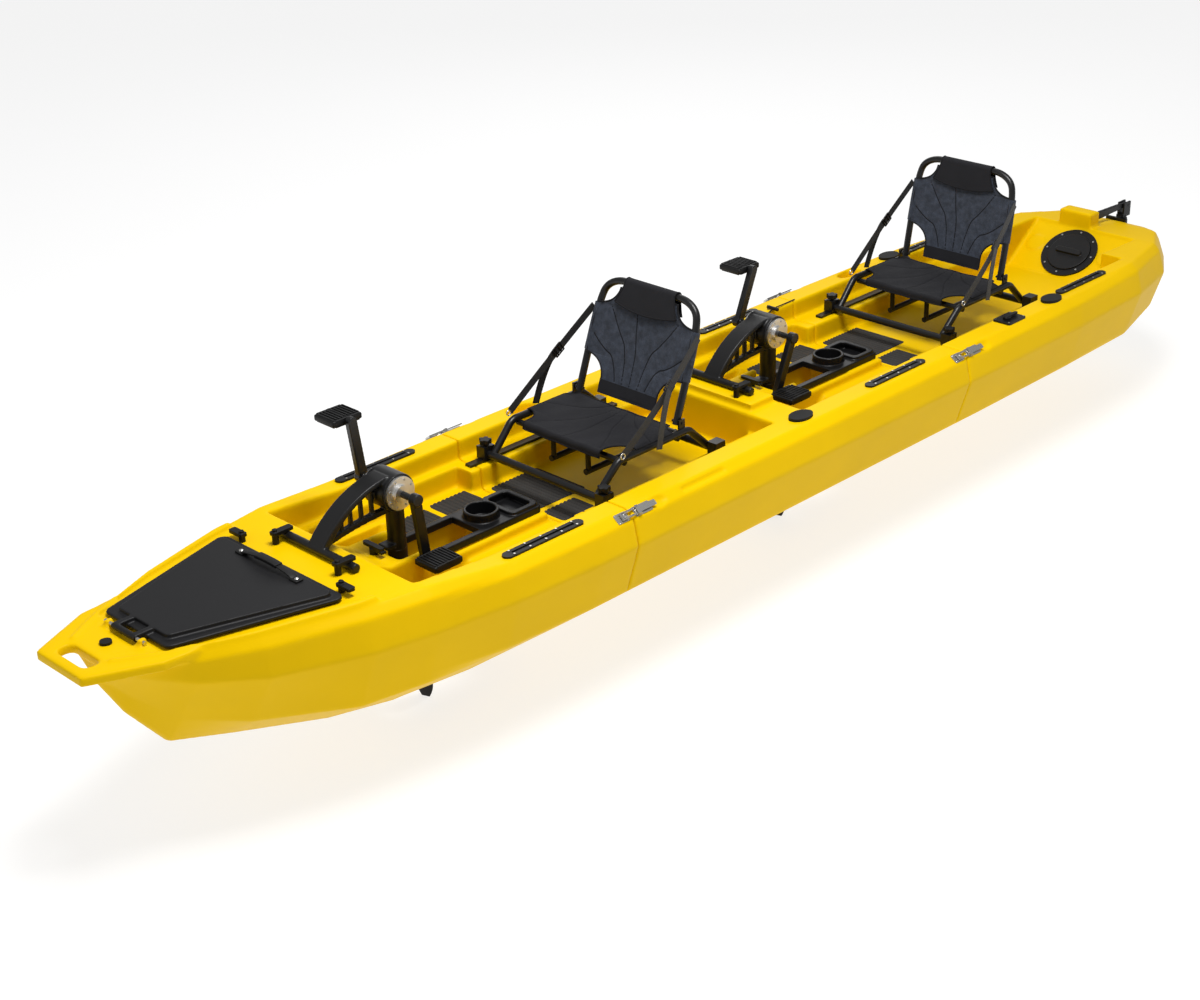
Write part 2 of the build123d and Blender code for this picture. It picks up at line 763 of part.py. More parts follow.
# ================================================================ trays
def cup_tray(shift):
    """The cover of the tunnel: an open trough, a cup ring and a loop handle."""
    floor = tunnel_z + clearance
    with BuildPart() as tray:
        with BuildSketch(Plane.XY.offset(floor)):
            with Locations(((tray_front_x + tray_rear_x) / 2 + shift, 0)):
                RectangleRounded(tray_front_x - tray_rear_x, 2 * tray_half, 16)
        extrude(amount=tray_depth)
        # hollow of the tray above its thin floor
        with BuildSketch(Plane.XY.offset(floor + 5)):
            with Locations((cup_x - 108 + shift, 0)):
                RectangleRounded(76, 2 * tray_half - 44, 12)
        extrude(amount=tray_depth, mode=Mode.SUBTRACT)
        # the trough is open right through, for the leg to swing in
        with Locations(((tray_front_x + cup_x + cup_radius + 8) / 2 + 10 + shift, 0, floor)):
            Box(tray_front_x - cup_x - cup_radius + 12, 2 * (tray_half - 20), 3 * tray_depth,
                mode=Mode.SUBTRACT)
        with Locations((cup_x + shift, 0, floor)):
            Cylinder(cup_radius, cup_height, align=(Align.CENTER, Align.CENTER, Align.MIN))
        with Locations((cup_x + shift, 0, floor + 6)):
            Cylinder(cup_bore, cup_height, align=(Align.CENTER, Align.CENTER, Align.MIN),
                     mode=Mode.SUBTRACT)
        # loop handle at the rear, standing a little proud
        with BuildSketch(Plane.XY.offset(floor + tray_depth)):
            with Locations((tray_rear_x + 56 + shift, 0)):
                RectangleRounded(104, 2 * tray_half - 12, 22)
                RectangleRounded(70, 2 * tray_half - 46, 14, mode=Mode.SUBTRACT)
        extrude(amount=9)
    return tray.part


for shift, name in drives:
    save(cup_tray(shift), f"cup_tray_{name}")

# ================================================================ chairs
chairs = ((0.0, "front", back_recline[0]), (-seat_shift, "rear", back_recline[1]))
pivot_x = seat_rear_x + 24
pivot_z = seat_z + 26
pivot_radius = 4.0
clamp_height = 38.0
knob_z = ledge_z + rail_height + clearance + clamp_height + 5


def side_tubes(points, radius, bends):
    """The same bent tube on both sides of the chair."""
    port = tube_run(points, radius, bends)
    return port + mirror(port, about=Plane.XZ)


def seat_frame(shift):
    """Welded tube frame of the seat with its two clamp blocks."""
    front = (seat_front_x + shift, seat_half, seat_z)
    rear = (seat_rear_x + shift, seat_half, seat_z)
    foot = (seat_foot_x + shift, seat_half - 6, foot_z)
    rear_foot = (seat_rear_foot_x + shift, seat_half - 6, foot_z)
    sides = side_tubes([foot, front, rear, rear_foot], tube_radius, 42)
    with BuildPart() as frame:
        add(sides)
        # lower rails and bars
        with Locations(Location((seat_foot_x + shift, 0, foot_z), (90, 0, 0))):
            Cylinder(bar_tube_radius, 2 * clamp_half)
        with Locations(Location((seat_rear_foot_x + shift, 0, foot_z), (90, 0, 0))):
            Cylinder(bar_tube_radius, 2 * clamp_half)
        with Locations(Location((seat_front_x - 24 + shift, 0, seat_z - 15), (90, 0, 0))):
            Cylinder(tube_radius - 2, 2 * seat_half)
        with Locations(Location((seat_rear_x + 40 + shift, 0, seat_z - 15), (90, 0, 0))):
            Cylinder(tube_radius - 2, 2 * seat_half)
        for y in (-70, 70):
            with BuildSketch(Plane.XY.offset(foot_z)):
                with Locations((seat_front_x - 24 + shift, y)):
                    Circle(tube_radius - 3)
            extrude(amount=seat_z - 15 - foot_z)
            with Locations(Location(((seat_front_x - 24 + seat_rear_foot_x) / 2 + shift, y, foot_z),
                                    (0, 90, 0))):
                Cylinder(tube_radius - 2, seat_front_x - 24 - seat_rear_foot_x + 24)
        # clamp blocks straddle the rails
        for x in (seat_foot_x, seat_rear_foot_x):
            for side in (-1, 1):
                with Locations((x + shift, side * rail_half, ledge_z + rail_height + clearance)):
                    Box(40, 34, clamp_height, align=(Align.CENTER, Align.CENTER, Align.MIN))
        # ears that hold the back's pivots
        for side in (-1, 1):
            with Locations((pivot_x + shift, side * (seat_half - 3), pivot_z - 4)):
                Box(24, 6, 32)
            with Locations(Location((pivot_x + shift, side * (seat_half - 17), pivot_z), (90, 0, 0))):
                Cylinder(pivot_radius, 40)
    return frame.part


def back_frame(shift, recline):
    """Bent tube hoop of the backrest, open on both sides of its head rail."""
    lean = radians(recline)
    rise = Vector(-sin(lean), 0, cos(lean))
    pivot = Vector(pivot_x + shift, 0, pivot_z)

    def at(y, height):
        """A point on the backrest's own plane."""
        return pivot + rise * height + Vector(0, y, 0)

    points = [
        at(back_half + 4, -9),
        at(back_half + 4, 60),
        at(back_half - 2, back_height - 68),
        at(back_half - 44, back_height - 12),
        at(back_half - 96, back_height),
        at(0, back_height),
        at(-back_half + 96, back_height),
        at(-back_half + 44, back_height - 12),
        at(-back_half + 2, back_height - 68),
        at(-back_half - 4, 60),
        at(-back_half - 4, -9),
    ]
    hoop = [point for point in points if abs(point.Y) > 1]
    tube = tube_run(hoop, tube_radius, [60, 60, 34, 34, 34, 34, 60, 60])
    with BuildPart() as frame:
        add(tube)
        with Locations(Location((pivot_x + shift, 0, pivot_z), (90, 0, 0))):
            Cylinder(pivot_radius + running_gap, 500, mode=Mode.SUBTRACT)
    return frame.part


def sling(centre, x_dir, z_dir, width, height, radius):
    """A stretched panel of cloth, as one thin slab."""
    with BuildPart() as panel:
        with BuildSketch(Plane(origin=centre, x_dir=x_dir, z_dir=z_dir)):
            RectangleRounded(width, height, radius)
        extrude(amount=fabric_thickness)
    return panel.part


def star_knob(x, y):
    """A five-lobed knob on its screw."""
    with BuildPart() as knob:
        with BuildSketch(Plane.XY.offset(knob_z - 4.7)):
            with Locations((x, y)):
                Circle(6)
        extrude(amount=6)
        with BuildSketch(Plane.XY.offset(knob_z)):
            with Locations((x, y)):
                Circle(14)
                with PolarLocations(13, 5):
                    Circle(6)
        extrude(amount=14)
    return knob.part


for shift, name, recline in chairs:
    lean = radians(recline)
    pivot = Vector(pivot_x + shift, 0, pivot_z)
    rise = Vector(-sin(lean), 0, cos(lean))
    facing = Vector(cos(lean), 0, sin(lean))
    save(seat_frame(shift), f"seat_frame_{name}")
    save(back_frame(shift, recline), f"back_frame_{name}")
    seat_middle = (seat_front_x - sling_length / 2 + 8 + shift, 0, seat_z + tube_radius + clearance)
    save(sling(seat_middle, (0, 1, 0), (0, 0, 1), 2 * (seat_half - sling_inset), sling_length, 20),
         f"seat_sling_{name}")
    back_middle = pivot + rise * 182 + facing * (tube_radius + clearance)
    save(sling(back_middle, (0, 1, 0), facing, 2 * back_half - 12, 214, 26), f"back_sling_{name}")
    for side, hand in ((1, "port"), (-1, "stbd")):
        save(star_knob(seat_foot_x + shift, side * rail_half), f"seat_knob_{name}_{hand}")

with BuildPart() as seat_rails:
    for shift, name, recline in chairs:
        for side in (-1, 1):
            with Locations((470 + shift, side * rail_half, ledge_z)):
                Box(600, rail_width, rail_height, align=(Align.CENTER, Align.CENTER, Align.MIN))
save(seat_rails.part, "seat_rails")

# ================================================================ gear tracks and screws
with BuildPart() as gear_tracks:
    for x, y in track_places:
        for side in (-1, 1):
            with BuildSketch(Plane.XY.offset(gunwale_z)):
                with Locations((x, side * y)):
                    SlotOverall(track_length, track_width)
            extrude(amount=track_height)
            with Locations((x, side * y, gunwale_z + track_height)):
                Box(track_length - 60, 9, 7, mode=Mode.SUBTRACT)
save(gear_tracks.part, "gear_tracks")

# ================================================================ floor pads
pad_patches = (
    (642, -88, 190, 204),
    (678, 78, 126, 88),
    (862, 188, 140, 92),
    (862, -188, 140, 92),
    (1014, 184, 128, 88),
    (1014, -184, 128, 88),
)
with BuildPart() as floor_pads:
    for shift in (0, -module_pitch):
        for x, y, length, width in pad_patches:
            with BuildSketch(Plane.XY.offset(floor_z)):
                with Locations((x + shift, y)):
                    RectangleRounded(length, width, 10)
            extrude(amount=3)
        for side in (-1, 1):
            with BuildSketch(Plane.XY.offset(well_z)):
                with Locations((1300 + shift, side * 172)):
                    RectangleRounded(190, 118, 24)
            extrude(amount=3)
save(floor_pads.part, "floor_pads")

# ================================================================ toggle latches across the seams
bevel_normal = (0, bevel_drop, bevel_run)
toggle_seams = ((seam_x, "front"), (-seam_x, "rear"))
plate_thickness = 2.0
bail_half = 10.0
bail_wire = 2.5
lever_side_gap = 0.35
lever_height = 3.4
lever_thickness = 3.0
lever_overhang = 4.0
lever_pin_radius = 1.5
bail_height = 5.0
ear_half = 12.5
lever_width = 2 * (bail_half - bail_wire / 2 - lever_side_gap)


def bevel_plane(x, side):
    """Plane on the middle of the gunwale's outer bevel, facing up and out."""
    middle = (x, side * (bevel_top_half + bevel_run / 2), gunwale_z - bevel_drop / 2)
    return Plane(origin=middle, x_dir=(1, 0, 0), z_dir=(0, side * bevel_drop, bevel_run))


def lever_hinge(x, side):
    """Place of a lever's hinge pin, its own Z along the pin."""
    face = bevel_plane(x - 24, side).offset(plate_thickness + lever_height + lever_thickness / 2)
    return Location(Plane(origin=face.origin, x_dir=face.x_dir, z_dir=face.y_dir))


with BuildPart() as latch_plates:
    for x, name in toggle_seams:
        for side in (-1, 1):
            for offset, length in ((34, 44), (-44, 64)):
                with BuildSketch(bevel_plane(x + offset, side)):
                    RectangleRounded(length, 30, 4)
                extrude(amount=plate_thickness)
            # the hook that the bail pulls on, and the two ears of the lever's hinge
            with BuildSketch(bevel_plane(x + 30, side).offset(plate_thickness)):
                Rectangle(8, 14)
            extrude(amount=7)
            with BuildSketch(bevel_plane(x - 24, side).offset(plate_thickness)):
                with Locations((0, -ear_half), (0, ear_half)):
                    Rectangle(12, bail_wire)
            extrude(amount=9)
            # the wire bail from the ears to the hook
            bail_foot = plate_thickness + lever_height + (lever_thickness - bail_height) / 2
            with BuildSketch(bevel_plane(x - 24, side).offset(bail_foot)):
                with Locations((28, -bail_half), (28, bail_half)):
                    Rectangle(68, bail_wire)
                with Locations((60.5, 0)):
                    Rectangle(3, 2 * bail_half + bail_wire)
            extrude(amount=bail_height)
            with Locations(lever_hinge(x, side)):
                Cylinder(lever_pin_radius + running_gap, 2 * (bail_half + bail_wire / 2),
                         mode=Mode.SUBTRACT)
save(latch_plates.part, "latch_plates")

for x, name in toggle_seams:
    for side, hand in ((1, "port"), (-1, "stbd")):
        face = bevel_plane(x - 24, side)
        with BuildPart() as toggle:
            with BuildSketch(face.offset(plate_thickness + lever_height)):
                with Locations((-toggle_length / 2 + lever_overhang, 0)):
                    RectangleRounded(toggle_length, lever_width, 3.5)
            extrude(amount=lever_thickness)
            with Locations(lever_hinge(x, side)):
                Cylinder(lever_pin_radius, 2 * (bail_half + bail_wire / 2) - lever_side_gap)
        save(toggle.part, f"toggle_{name}_{hand}")

# ================================================================ steering plate and lever
with BuildPart() as steering_plate:
    with BuildSketch(Plane.XY.offset(gunwale_z)):
        with Locations((steering_x, steering_y)):
            RectangleRounded(96, 66, 8)
    extrude(amount=6)
save(steering_plate.part, "steering_plate")

with BuildPart() as steering_lever:
    with Locations((steering_x + 14, steering_y, gunwale_z + 6 + clearance)):
        Cylinder(13, 8, align=(Align.CENTER, Align.CENTER, Align.MIN))
    with BuildSketch(Plane.XY.offset(gunwale_z + 10)):
        with Locations((steering_x - 8, steering_y)):
            SlotOverall(66, 13)
    extrude(amount=7)
save(steering_lever.part, "steering_lever")

# ================================================================ round hatch
with BuildPart() as hatch_ring:
    with BuildSketch(hatch_plane):
        Circle(hatch_radius)
        Circle(hatch_opening, mode=Mode.SUBTRACT)
    extrude(amount=7)
    with BuildSketch(hatch_plane.offset(-4)):
        Circle(hatch_opening - 10 - clearance)
        Circle(hatch_opening - 18, mode=Mode.SUBTRACT)
    extrude(amount=4)
    with BuildSketch(hatch_plane):
        Circle(hatch_opening + 1)
        Circle(hatch_opening - 18, mode=Mode.SUBTRACT)
    extrude(amount=2)
save(hatch_ring.part, "hatch_ring")

with BuildPart() as round_hatch_cover:
    with BuildSketch(hatch_plane.offset(2 + clearance)):
        Circle(hatch_opening - 1)
    extrude(amount=9)
    with BuildSketch(hatch_plane.offset(11)):
        SlotOverall(104, 22)
    extrude(amount=9)
save(round_hatch_cover.part, "round_hatch_cover")

# ================================================================ rubber caps and drain plugs
plug_places = ((2120, 0, bow_deck_z + 8),)
with BuildPart() as caps_and_plugs:
    for x, y in rod_holes:
        with BuildSketch(Plane.XY.offset(gunwale_z)):
            with Locations((x, y)):
                Ellipse(44, 29)
        extrude(amount=9)
        with Locations((x, y, gunwale_z)):
            Cylinder(rod_hole_radius - clearance, 24, align=(Align.CENTER, Align.CENTER, Align.MAX))
    for x, y, z in plug_places:
        with Locations((x, y, z)):
            Cylinder(15, 7, align=(Align.CENTER, Align.CENTER, Align.MIN))
save(caps_and_plugs.part, "caps_and_plugs")

# ================================================================ screws
with BuildPart() as deck_screws:
    for x, y in track_places:
        for side in (-1, 1):
            with Locations((x, side * y, gunwale_z + track_height)):
                with GridLocations(56, 22, 5, 2):
                    Cylinder(screw_radius, 2, align=(Align.CENTER, Align.CENTER, Align.MIN))
    with Locations((steering_x, steering_y, gunwale_z + 6)):
        with GridLocations(82, 52, 2, 2):
            Cylinder(screw_radius, 2, align=(Align.CENTER, Align.CENTER, Align.MIN))
    with Locations(hatch_plane.offset(7).location):
        with PolarLocations((hatch_radius + hatch_opening) / 2, 8):
            Cylinder(screw_radius + 0.5, 2, align=(Align.CENTER, Align.CENTER, Align.MIN))
save(deck_screws.part, "deck_screws")

# ================================================================ rudder
yoke_z = 353.0
with BuildPart() as rudder_bracket:
    with Locations((stern_x - 6, 0, 318)):
        Box(12, 84, 84)
    with Locations((rudder_x + 16, 0, 348), (rudder_x + 16, 0, 288)):
        Box(46, 40, 9)
    with Locations((rudder_x, 0, 318)):
        Cylinder(20, 68)
        Cylinder(7 + running_gap, 200, mode=Mode.SUBTRACT)
    with Locations((rudder_x, 0, 318)):
        Cylinder(40, 42, mode=Mode.SUBTRACT)
save(rudder_bracket.part, "rudder_bracket")

with BuildPart() as rudder_head:
    with Locations((rudder_x, 0, 318)):
        Cylinder(7, 74)
        Cylinder(15, 40)
    with Locations((rudder_x, 0, yoke_z + clearance + 3)):
        Cylinder(18, 6)
    for side in (-1, 1):
        with Locations((rudder_x - 12, side * 11, yoke_z + 30)):
            Box(44, 7, 54)
    with Locations((rudder_x, 0, yoke_z + 8)):
        Box(30, 29, 9)
    with Locations(Location((rudder_x - 14, 0, rudder_z), (90, 0, 0))):
        Cylinder(4 + running_gap, 60, mode=Mode.SUBTRACT)
save(rudder_head.part, "rudder_head")

with BuildPart() as rudder_blade:
    with BuildSketch(Plane.XZ.offset(-6)):
        with BuildLine():
            Polyline((rudder_x - 26, rudder_z - 8), (rudder_x - 26, rudder_z + 8),
                     (rudder_x + 60, rudder_z + 12), (rudder_x + 166, rudder_z + 16),
                     (rudder_x + 186, rudder_z + 2), (rudder_x + 172, rudder_z - 12),
                     (rudder_x + 60, rudder_z - 10), close=True)
        make_face()
    extrude(amount=12)
    with Locations(Location((rudder_x - 14, 0, rudder_z), (90, 0, 0))):
        Cylinder(4, 30)
save(rudder_blade.part, "rudder_blade")
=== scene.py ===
"""Looks of the tandem pedal kayak: moulded shells, hatch, drives, trays, chairs, pads and fittings."""

import json
from math import cos, exp, pi, radians, sin, sqrt

import bmesh
import bpy
from bpy.props import FloatProperty, FloatVectorProperty, IntProperty, PointerProperty
from mathutils import Matrix, Vector
from mathutils.kdtree import KDTree


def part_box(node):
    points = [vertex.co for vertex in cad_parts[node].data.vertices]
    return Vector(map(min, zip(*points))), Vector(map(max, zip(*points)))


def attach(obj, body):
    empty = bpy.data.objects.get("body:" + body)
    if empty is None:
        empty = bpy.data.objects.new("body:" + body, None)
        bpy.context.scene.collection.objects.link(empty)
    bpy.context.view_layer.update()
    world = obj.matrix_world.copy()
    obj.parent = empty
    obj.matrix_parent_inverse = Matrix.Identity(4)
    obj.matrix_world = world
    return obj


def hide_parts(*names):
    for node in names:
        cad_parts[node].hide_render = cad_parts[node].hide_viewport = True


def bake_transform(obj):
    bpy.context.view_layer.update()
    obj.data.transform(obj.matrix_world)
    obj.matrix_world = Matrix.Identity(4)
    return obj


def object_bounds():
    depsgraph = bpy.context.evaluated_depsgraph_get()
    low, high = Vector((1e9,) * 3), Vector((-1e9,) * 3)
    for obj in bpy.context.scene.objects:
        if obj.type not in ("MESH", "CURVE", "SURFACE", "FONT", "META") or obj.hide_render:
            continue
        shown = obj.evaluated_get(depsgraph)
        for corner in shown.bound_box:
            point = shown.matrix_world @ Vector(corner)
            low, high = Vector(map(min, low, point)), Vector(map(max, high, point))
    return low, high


bl_info = {
    "name": "Tandem pedal kayak",
    "version": (1, 0, 0),
    "blender": (4, 5, 0),
    "location": "3D View > Sidebar > Kayak",
    "description": "Builds the shells, fittings, cloth and finishes of the kayak round its packed parts",
    "category": "Object",
}

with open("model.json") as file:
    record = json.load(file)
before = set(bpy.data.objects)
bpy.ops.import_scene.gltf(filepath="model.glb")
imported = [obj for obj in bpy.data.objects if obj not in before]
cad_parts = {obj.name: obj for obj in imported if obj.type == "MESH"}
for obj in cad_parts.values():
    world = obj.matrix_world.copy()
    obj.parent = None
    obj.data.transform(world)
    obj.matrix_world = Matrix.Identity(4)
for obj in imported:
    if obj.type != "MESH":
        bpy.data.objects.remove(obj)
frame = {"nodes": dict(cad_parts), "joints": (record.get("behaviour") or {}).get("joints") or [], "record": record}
cad_low, cad_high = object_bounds()
nodes = frame["nodes"]
JOINTS = {joint["name"]: joint for joint in frame["joints"]}

MM = 0.001
ENDS = ("front", "rear")
HANDS = ((1, "port"), (-1, "stbd"))
SIDES = (1, -1)


# ---------------------------------------------------------------- sizes and colours a user may change
class KayakHullSettings(bpy.types.PropertyGroup):
    """Shells and hatch."""

    color: FloatVectorProperty(
        name="Hull colour", description="Colour moulded into the hull", subtype="COLOR",
        default=(0.80, 0.505, 0.0), min=0, max=1)
    voxel: FloatProperty(
        name="Mould detail", description="Smallest shape that the moulded skin keeps", unit="LENGTH",
        default=5.5 * MM, min=3 * MM, max=20 * MM)
    rounding: IntProperty(
        name="Edge rounding", description="How far the mould's edges are softened",
        default=5, min=0, max=30)
    rim_height: FloatProperty(
        name="Bow rim", description="Height of the raised edge beside the bow lid", unit="LENGTH",
        default=15 * MM, min=4 * MM, max=30 * MM)


class KayakClothSettings(bpy.types.PropertyGroup):
    """Chair cloth and webbing."""

    mesh_color: FloatVectorProperty(
        name="Mesh colour", description="Colour of the backrest's mesh", subtype="COLOR",
        default=(0.034, 0.041, 0.058), min=0, max=1)
    cloth_color: FloatVectorProperty(
        name="Cloth colour", description="Colour of the seat's coated cloth", subtype="COLOR",
        default=(0.0075, 0.0075, 0.0095), min=0, max=1)
    webbing_width: FloatProperty(
        name="Webbing width", description="Width of the chair's side straps", unit="LENGTH",
        default=25 * MM, min=10 * MM, max=50 * MM)
    seam_depth: FloatProperty(
        name="Seam depth", description="How deep a sewn line pulls the cloth in", unit="LENGTH",
        default=1.6 * MM, min=0, max=6 * MM)


class KayakPadSettings(bpy.types.PropertyGroup):
    """Ribbed foam pads."""

    rib_pitch: FloatProperty(
        name="Rib pitch", description="Distance from rib to rib", unit="LENGTH",
        default=15 * MM, min=3 * MM, max=20 * MM)
    rib_height: FloatProperty(
        name="Rib height", description="Height of each rib", unit="LENGTH",
        default=3 * MM, min=0.5 * MM, max=4 * MM)


# ---------------------------------------------------------------- materials
class Signal:
    """A number that varies over a surface, with the arithmetic of numbers."""

    def __init__(self, finish, socket):
        self.finish = finish
        self.socket = socket

    def _maths(self, operation, first, second):
        return self.finish.node("ShaderNodeMath", {"operation": operation}, {0: first, 1: second})

    def __add__(self, other):
        return self._maths("ADD", self, other)

    def __radd__(self, other):
        return self._maths("ADD", other, self)

    def __sub__(self, other):
        return self._maths("SUBTRACT", self, other)

    def __rsub__(self, other):
        return self._maths("SUBTRACT", other, self)

    def __mul__(self, other):
        return self._maths("MULTIPLY", self, other)

    def __rmul__(self, other):
        return self._maths("MULTIPLY", other, self)


class Finish:
    """One material: its tree, its shader and one way to add a node."""

    def __init__(self, name, color, roughness, metallic=0.0, **constants):
        self.material = bpy.data.materials.new(name)
        self.material.use_nodes = True
        self.tree = self.material.node_tree
        self.shader = self.tree.nodes["Principled BSDF"]
        self.color = (*color, 1.0)
        self.shader.inputs["Base Color"].default_value = self.color
        self.shader.inputs["Roughness"].default_value = roughness
        self.shader.inputs["Metallic"].default_value = metallic
        for socket, value in constants.items():
            self.shader.inputs[socket.replace("_", " ").title().replace("Ior", "IOR")].default_value = value

    def node(self, kind, settings=None, inputs=None, output=0):
        """Adds a node: settings first, a ramp's stops among them, then its sockets' values or links."""
        node = self.tree.nodes.new(kind)
        for key, value in (settings or {}).items():
            if key == "stops":
                for element, (place, level) in zip(node.color_ramp.elements, value):
                    element.position = place
                    element.color = (level, level, level, 1)
            else:
                setattr(node, key, value)
        for key, value in (inputs or {}).items():
            self.feed(node.inputs[key], value)
        return Signal(self, node.outputs[output])

    def feed(self, socket, value):
        """Gives a socket a link or a value."""
        if isinstance(value, Signal):
            self.tree.links.new(value.socket, socket)
        else:
            socket.default_value = value

    def place(self, scale=(1, 1, 1), turn=(0, 0, 0), source="Object"):
        """Coordinates fixed to the piece, scaled and turned."""
        coordinates = self.node("ShaderNodeTexCoord")
        coordinates.socket = coordinates.socket.node.outputs[source]
        return self.node("ShaderNodeMapping", {}, {"Vector": coordinates, "Scale": scale, "Rotation": turn})

    def noise(self, scale, detail=3.0, roughness=0.55, where=None):
        """Cloudy noise from 0 to 1."""
        return self.node("ShaderNodeTexNoise", {}, {
            "Vector": where or self.place(), "Scale": scale, "Detail": detail, "Roughness": roughness})

    def ramp(self, signal, low, high, bottom=0.0, top=1.0):
        """Stretches the part of a signal from low to high."""
        return self.node("ShaderNodeValToRGB", {"stops": ((low, bottom), (high, top))}, {"Fac": signal})

    def shade(self, factor, dark, light):
        """A colour between two, by a signal."""
        mix = self.node("ShaderNodeMix", {"data_type": "RGBA"}, {"Factor": factor}, 2)
        mix.socket.node.inputs[6].default_value = (*dark, 1)
        mix.socket.node.inputs[7].default_value = (*light, 1)
        return mix

    def overlay(self, factor, under, color):
        """Paints a plain colour over another by a signal."""
        mix = self.node("ShaderNodeMix", {"data_type": "RGBA"}, {"Factor": factor}, 2)
        self.feed(mix.socket.node.inputs[6], under)
        mix.socket.node.inputs[7].default_value = (*color, 1)
        return mix

    def set(self, socket, value):
        self.feed(self.shader.inputs[socket], value)
        return self

    def relief(self, height, distance, strength=1.0):
        """Turns a height signal into bumps that many metres high."""
        return self.set("Normal", self.node("ShaderNodeBump", {}, {
            "Height": height, "Distance": distance, "Strength": strength}))


def scaled(color, share):
    """A colour made darker or lighter."""
    return tuple(min(1.0, channel * share) for channel in color)


def hull_finish(color):
    """Rotomoulded polyethylene: warm, waxy, a little uneven, with faint rubbing."""
    finish = Finish("moulded_yellow", color, 0.42, specular_ior_level=0.12, ior=1.28)
    cloud = finish.noise(2.3, 4.0)
    speck = finish.noise(160.0, 2.0)
    rubbed = finish.ramp(finish.noise(9.0, 8.0, 0.7, finish.place((1, 5, 5))), 0.60, 0.74)
    tint = finish.shade(finish.ramp(cloud, 0.3, 0.7), scaled(color, 0.94), scaled(color, 1.03))
    tint = finish.overlay(rubbed * 0.10, tint, (0.86, 0.60, 0.04))
    finish.set("Base Color", tint)
    finish.set("Roughness", 0.34 + 0.10 * cloud + 0.05 * speck + 0.10 * rubbed)
    return finish.relief(finish.noise(420.0, 2.0) * 0.6 + finish.noise(38.0, 2.0) * 0.4, 0.5 * MM, 0.35)


def black_finish(name, color, roughness, grain=700.0, depth=0.12):
    """Moulded black plastic with a fine grain and faint pale scuffs."""
    finish = Finish(name, color, roughness, specular_ior_level=0.25)
    scuff = finish.ramp(finish.noise(22.0, 9.0, 0.75), 0.62, 0.75)
    finish.set("Base Color", finish.shade(scuff * 0.5, color, scaled(color, 2.6)))
    finish.set("Roughness", roughness - 0.04 + 0.08 * finish.noise(30.0, 3.0) + 0.12 * scuff)
    return finish.relief(finish.noise(grain, 2.0), depth * MM, 0.5)


def grained_finish(name, color, roughness, cell=900.0, depth=0.25):
    """Leather-grained plastic sheet: small pebbles with creases between them."""
    finish = Finish(name, color, roughness, specular_ior_level=0.28)
    where = finish.place()
    cells = finish.node("ShaderNodeTexVoronoi", {"feature": "SMOOTH_F1"}, {"Vector": where, "Scale": cell})
    broad = finish.noise(3.0, 5.0)
    finish.set("Base Color", finish.shade(broad, scaled(color, 0.8), scaled(color, 1.25)))
    finish.set("Roughness", roughness + 0.12 * broad + 0.06 * cells)
    return finish.relief(1 - cells, depth * MM, 0.6)


def coated_finish(name, color, roughness):
    """Powder coat on metal: a very fine orange peel."""
    finish = Finish(name, color, roughness, coat_roughness=0.25, specular_ior_level=0.3)
    peel = finish.noise(520.0, 1.5)
    wear = finish.ramp(finish.noise(16.0, 9.0, 0.8), 0.66, 0.78)
    finish.set("Base Color", finish.shade(wear * 0.45, color, scaled(color, 3.0)))
    finish.set("Roughness", roughness + 0.06 * finish.noise(12.0, 3.0) + 0.10 * wear)
    finish.set("Coat Weight", 0.15 - 0.1 * wear)
    return finish.relief(peel, 0.08 * MM, 0.5)


def pad_finish():
    """Closed-cell foam, dark grey with a brown cast."""
    finish = Finish("ribbed_foam", (0.030, 0.028, 0.026), 0.82, specular_ior_level=0.2)
    cloud = finish.noise(14.0, 6.0)
    pores = finish.node("ShaderNodeTexVoronoi", {}, {"Vector": finish.place(), "Scale": 1500.0})
    finish.set("Base Color", finish.shade(cloud, (0.022, 0.021, 0.020), (0.048, 0.045, 0.042)))
    finish.set("Roughness", 0.76 + 0.12 * cloud)
    return finish.relief(pores, 0.15 * MM, 0.5)


def turned_finish(name, color, roughness):
    """Turned aluminium: rings round the crank axle's own line."""
    finish = Finish(name, color, roughness, 1.0)
    streak = finish.noise(900.0, 2.0, 0.6, finish.place((1, 0.02, 1)))
    haze = finish.noise(30.0, 4.0)
    finish.set("Base Color", finish.shade(haze, scaled(color, 0.86), color))
    finish.set("Roughness", roughness + 0.12 * streak + 0.08 * haze)
    return finish.relief(streak, 0.05 * MM, 0.5)


def steel_finish(name, color, roughness):
    """Bright stainless steel with drawn marks along its length and small stains."""
    finish = Finish(name, color, roughness, 1.0)
    drawn = finish.noise(1400.0, 2.0, 0.6, finish.place((0.03, 1, 1)))
    stain = finish.ramp(finish.noise(60.0, 7.0, 0.7), 0.55, 0.8)
    finish.set("Base Color", finish.shade(stain, color, scaled(color, 0.62)))
    finish.set("Roughness", roughness + 0.10 * drawn + 0.2 * stain)
    return finish.relief(drawn, 0.04 * MM, 0.5)


def weave_relief(finish, pitch, where):
    """Over-and-under threads, pitch metres apart, from 0 to 1."""
    turns = {"wave_type": "BANDS", "bands_direction": "X", "wave_profile": "SIN"}
    across = dict(turns, bands_direction="Y")
    rate = 1 / (pitch * pi)
    warp = finish.node("ShaderNodeTexWave", turns, {"Vector": where, "Scale": rate}, 1)
    weft = finish.node("ShaderNodeTexWave", across, {"Vector": where, "Scale": rate}, 1)
    return warp, weft


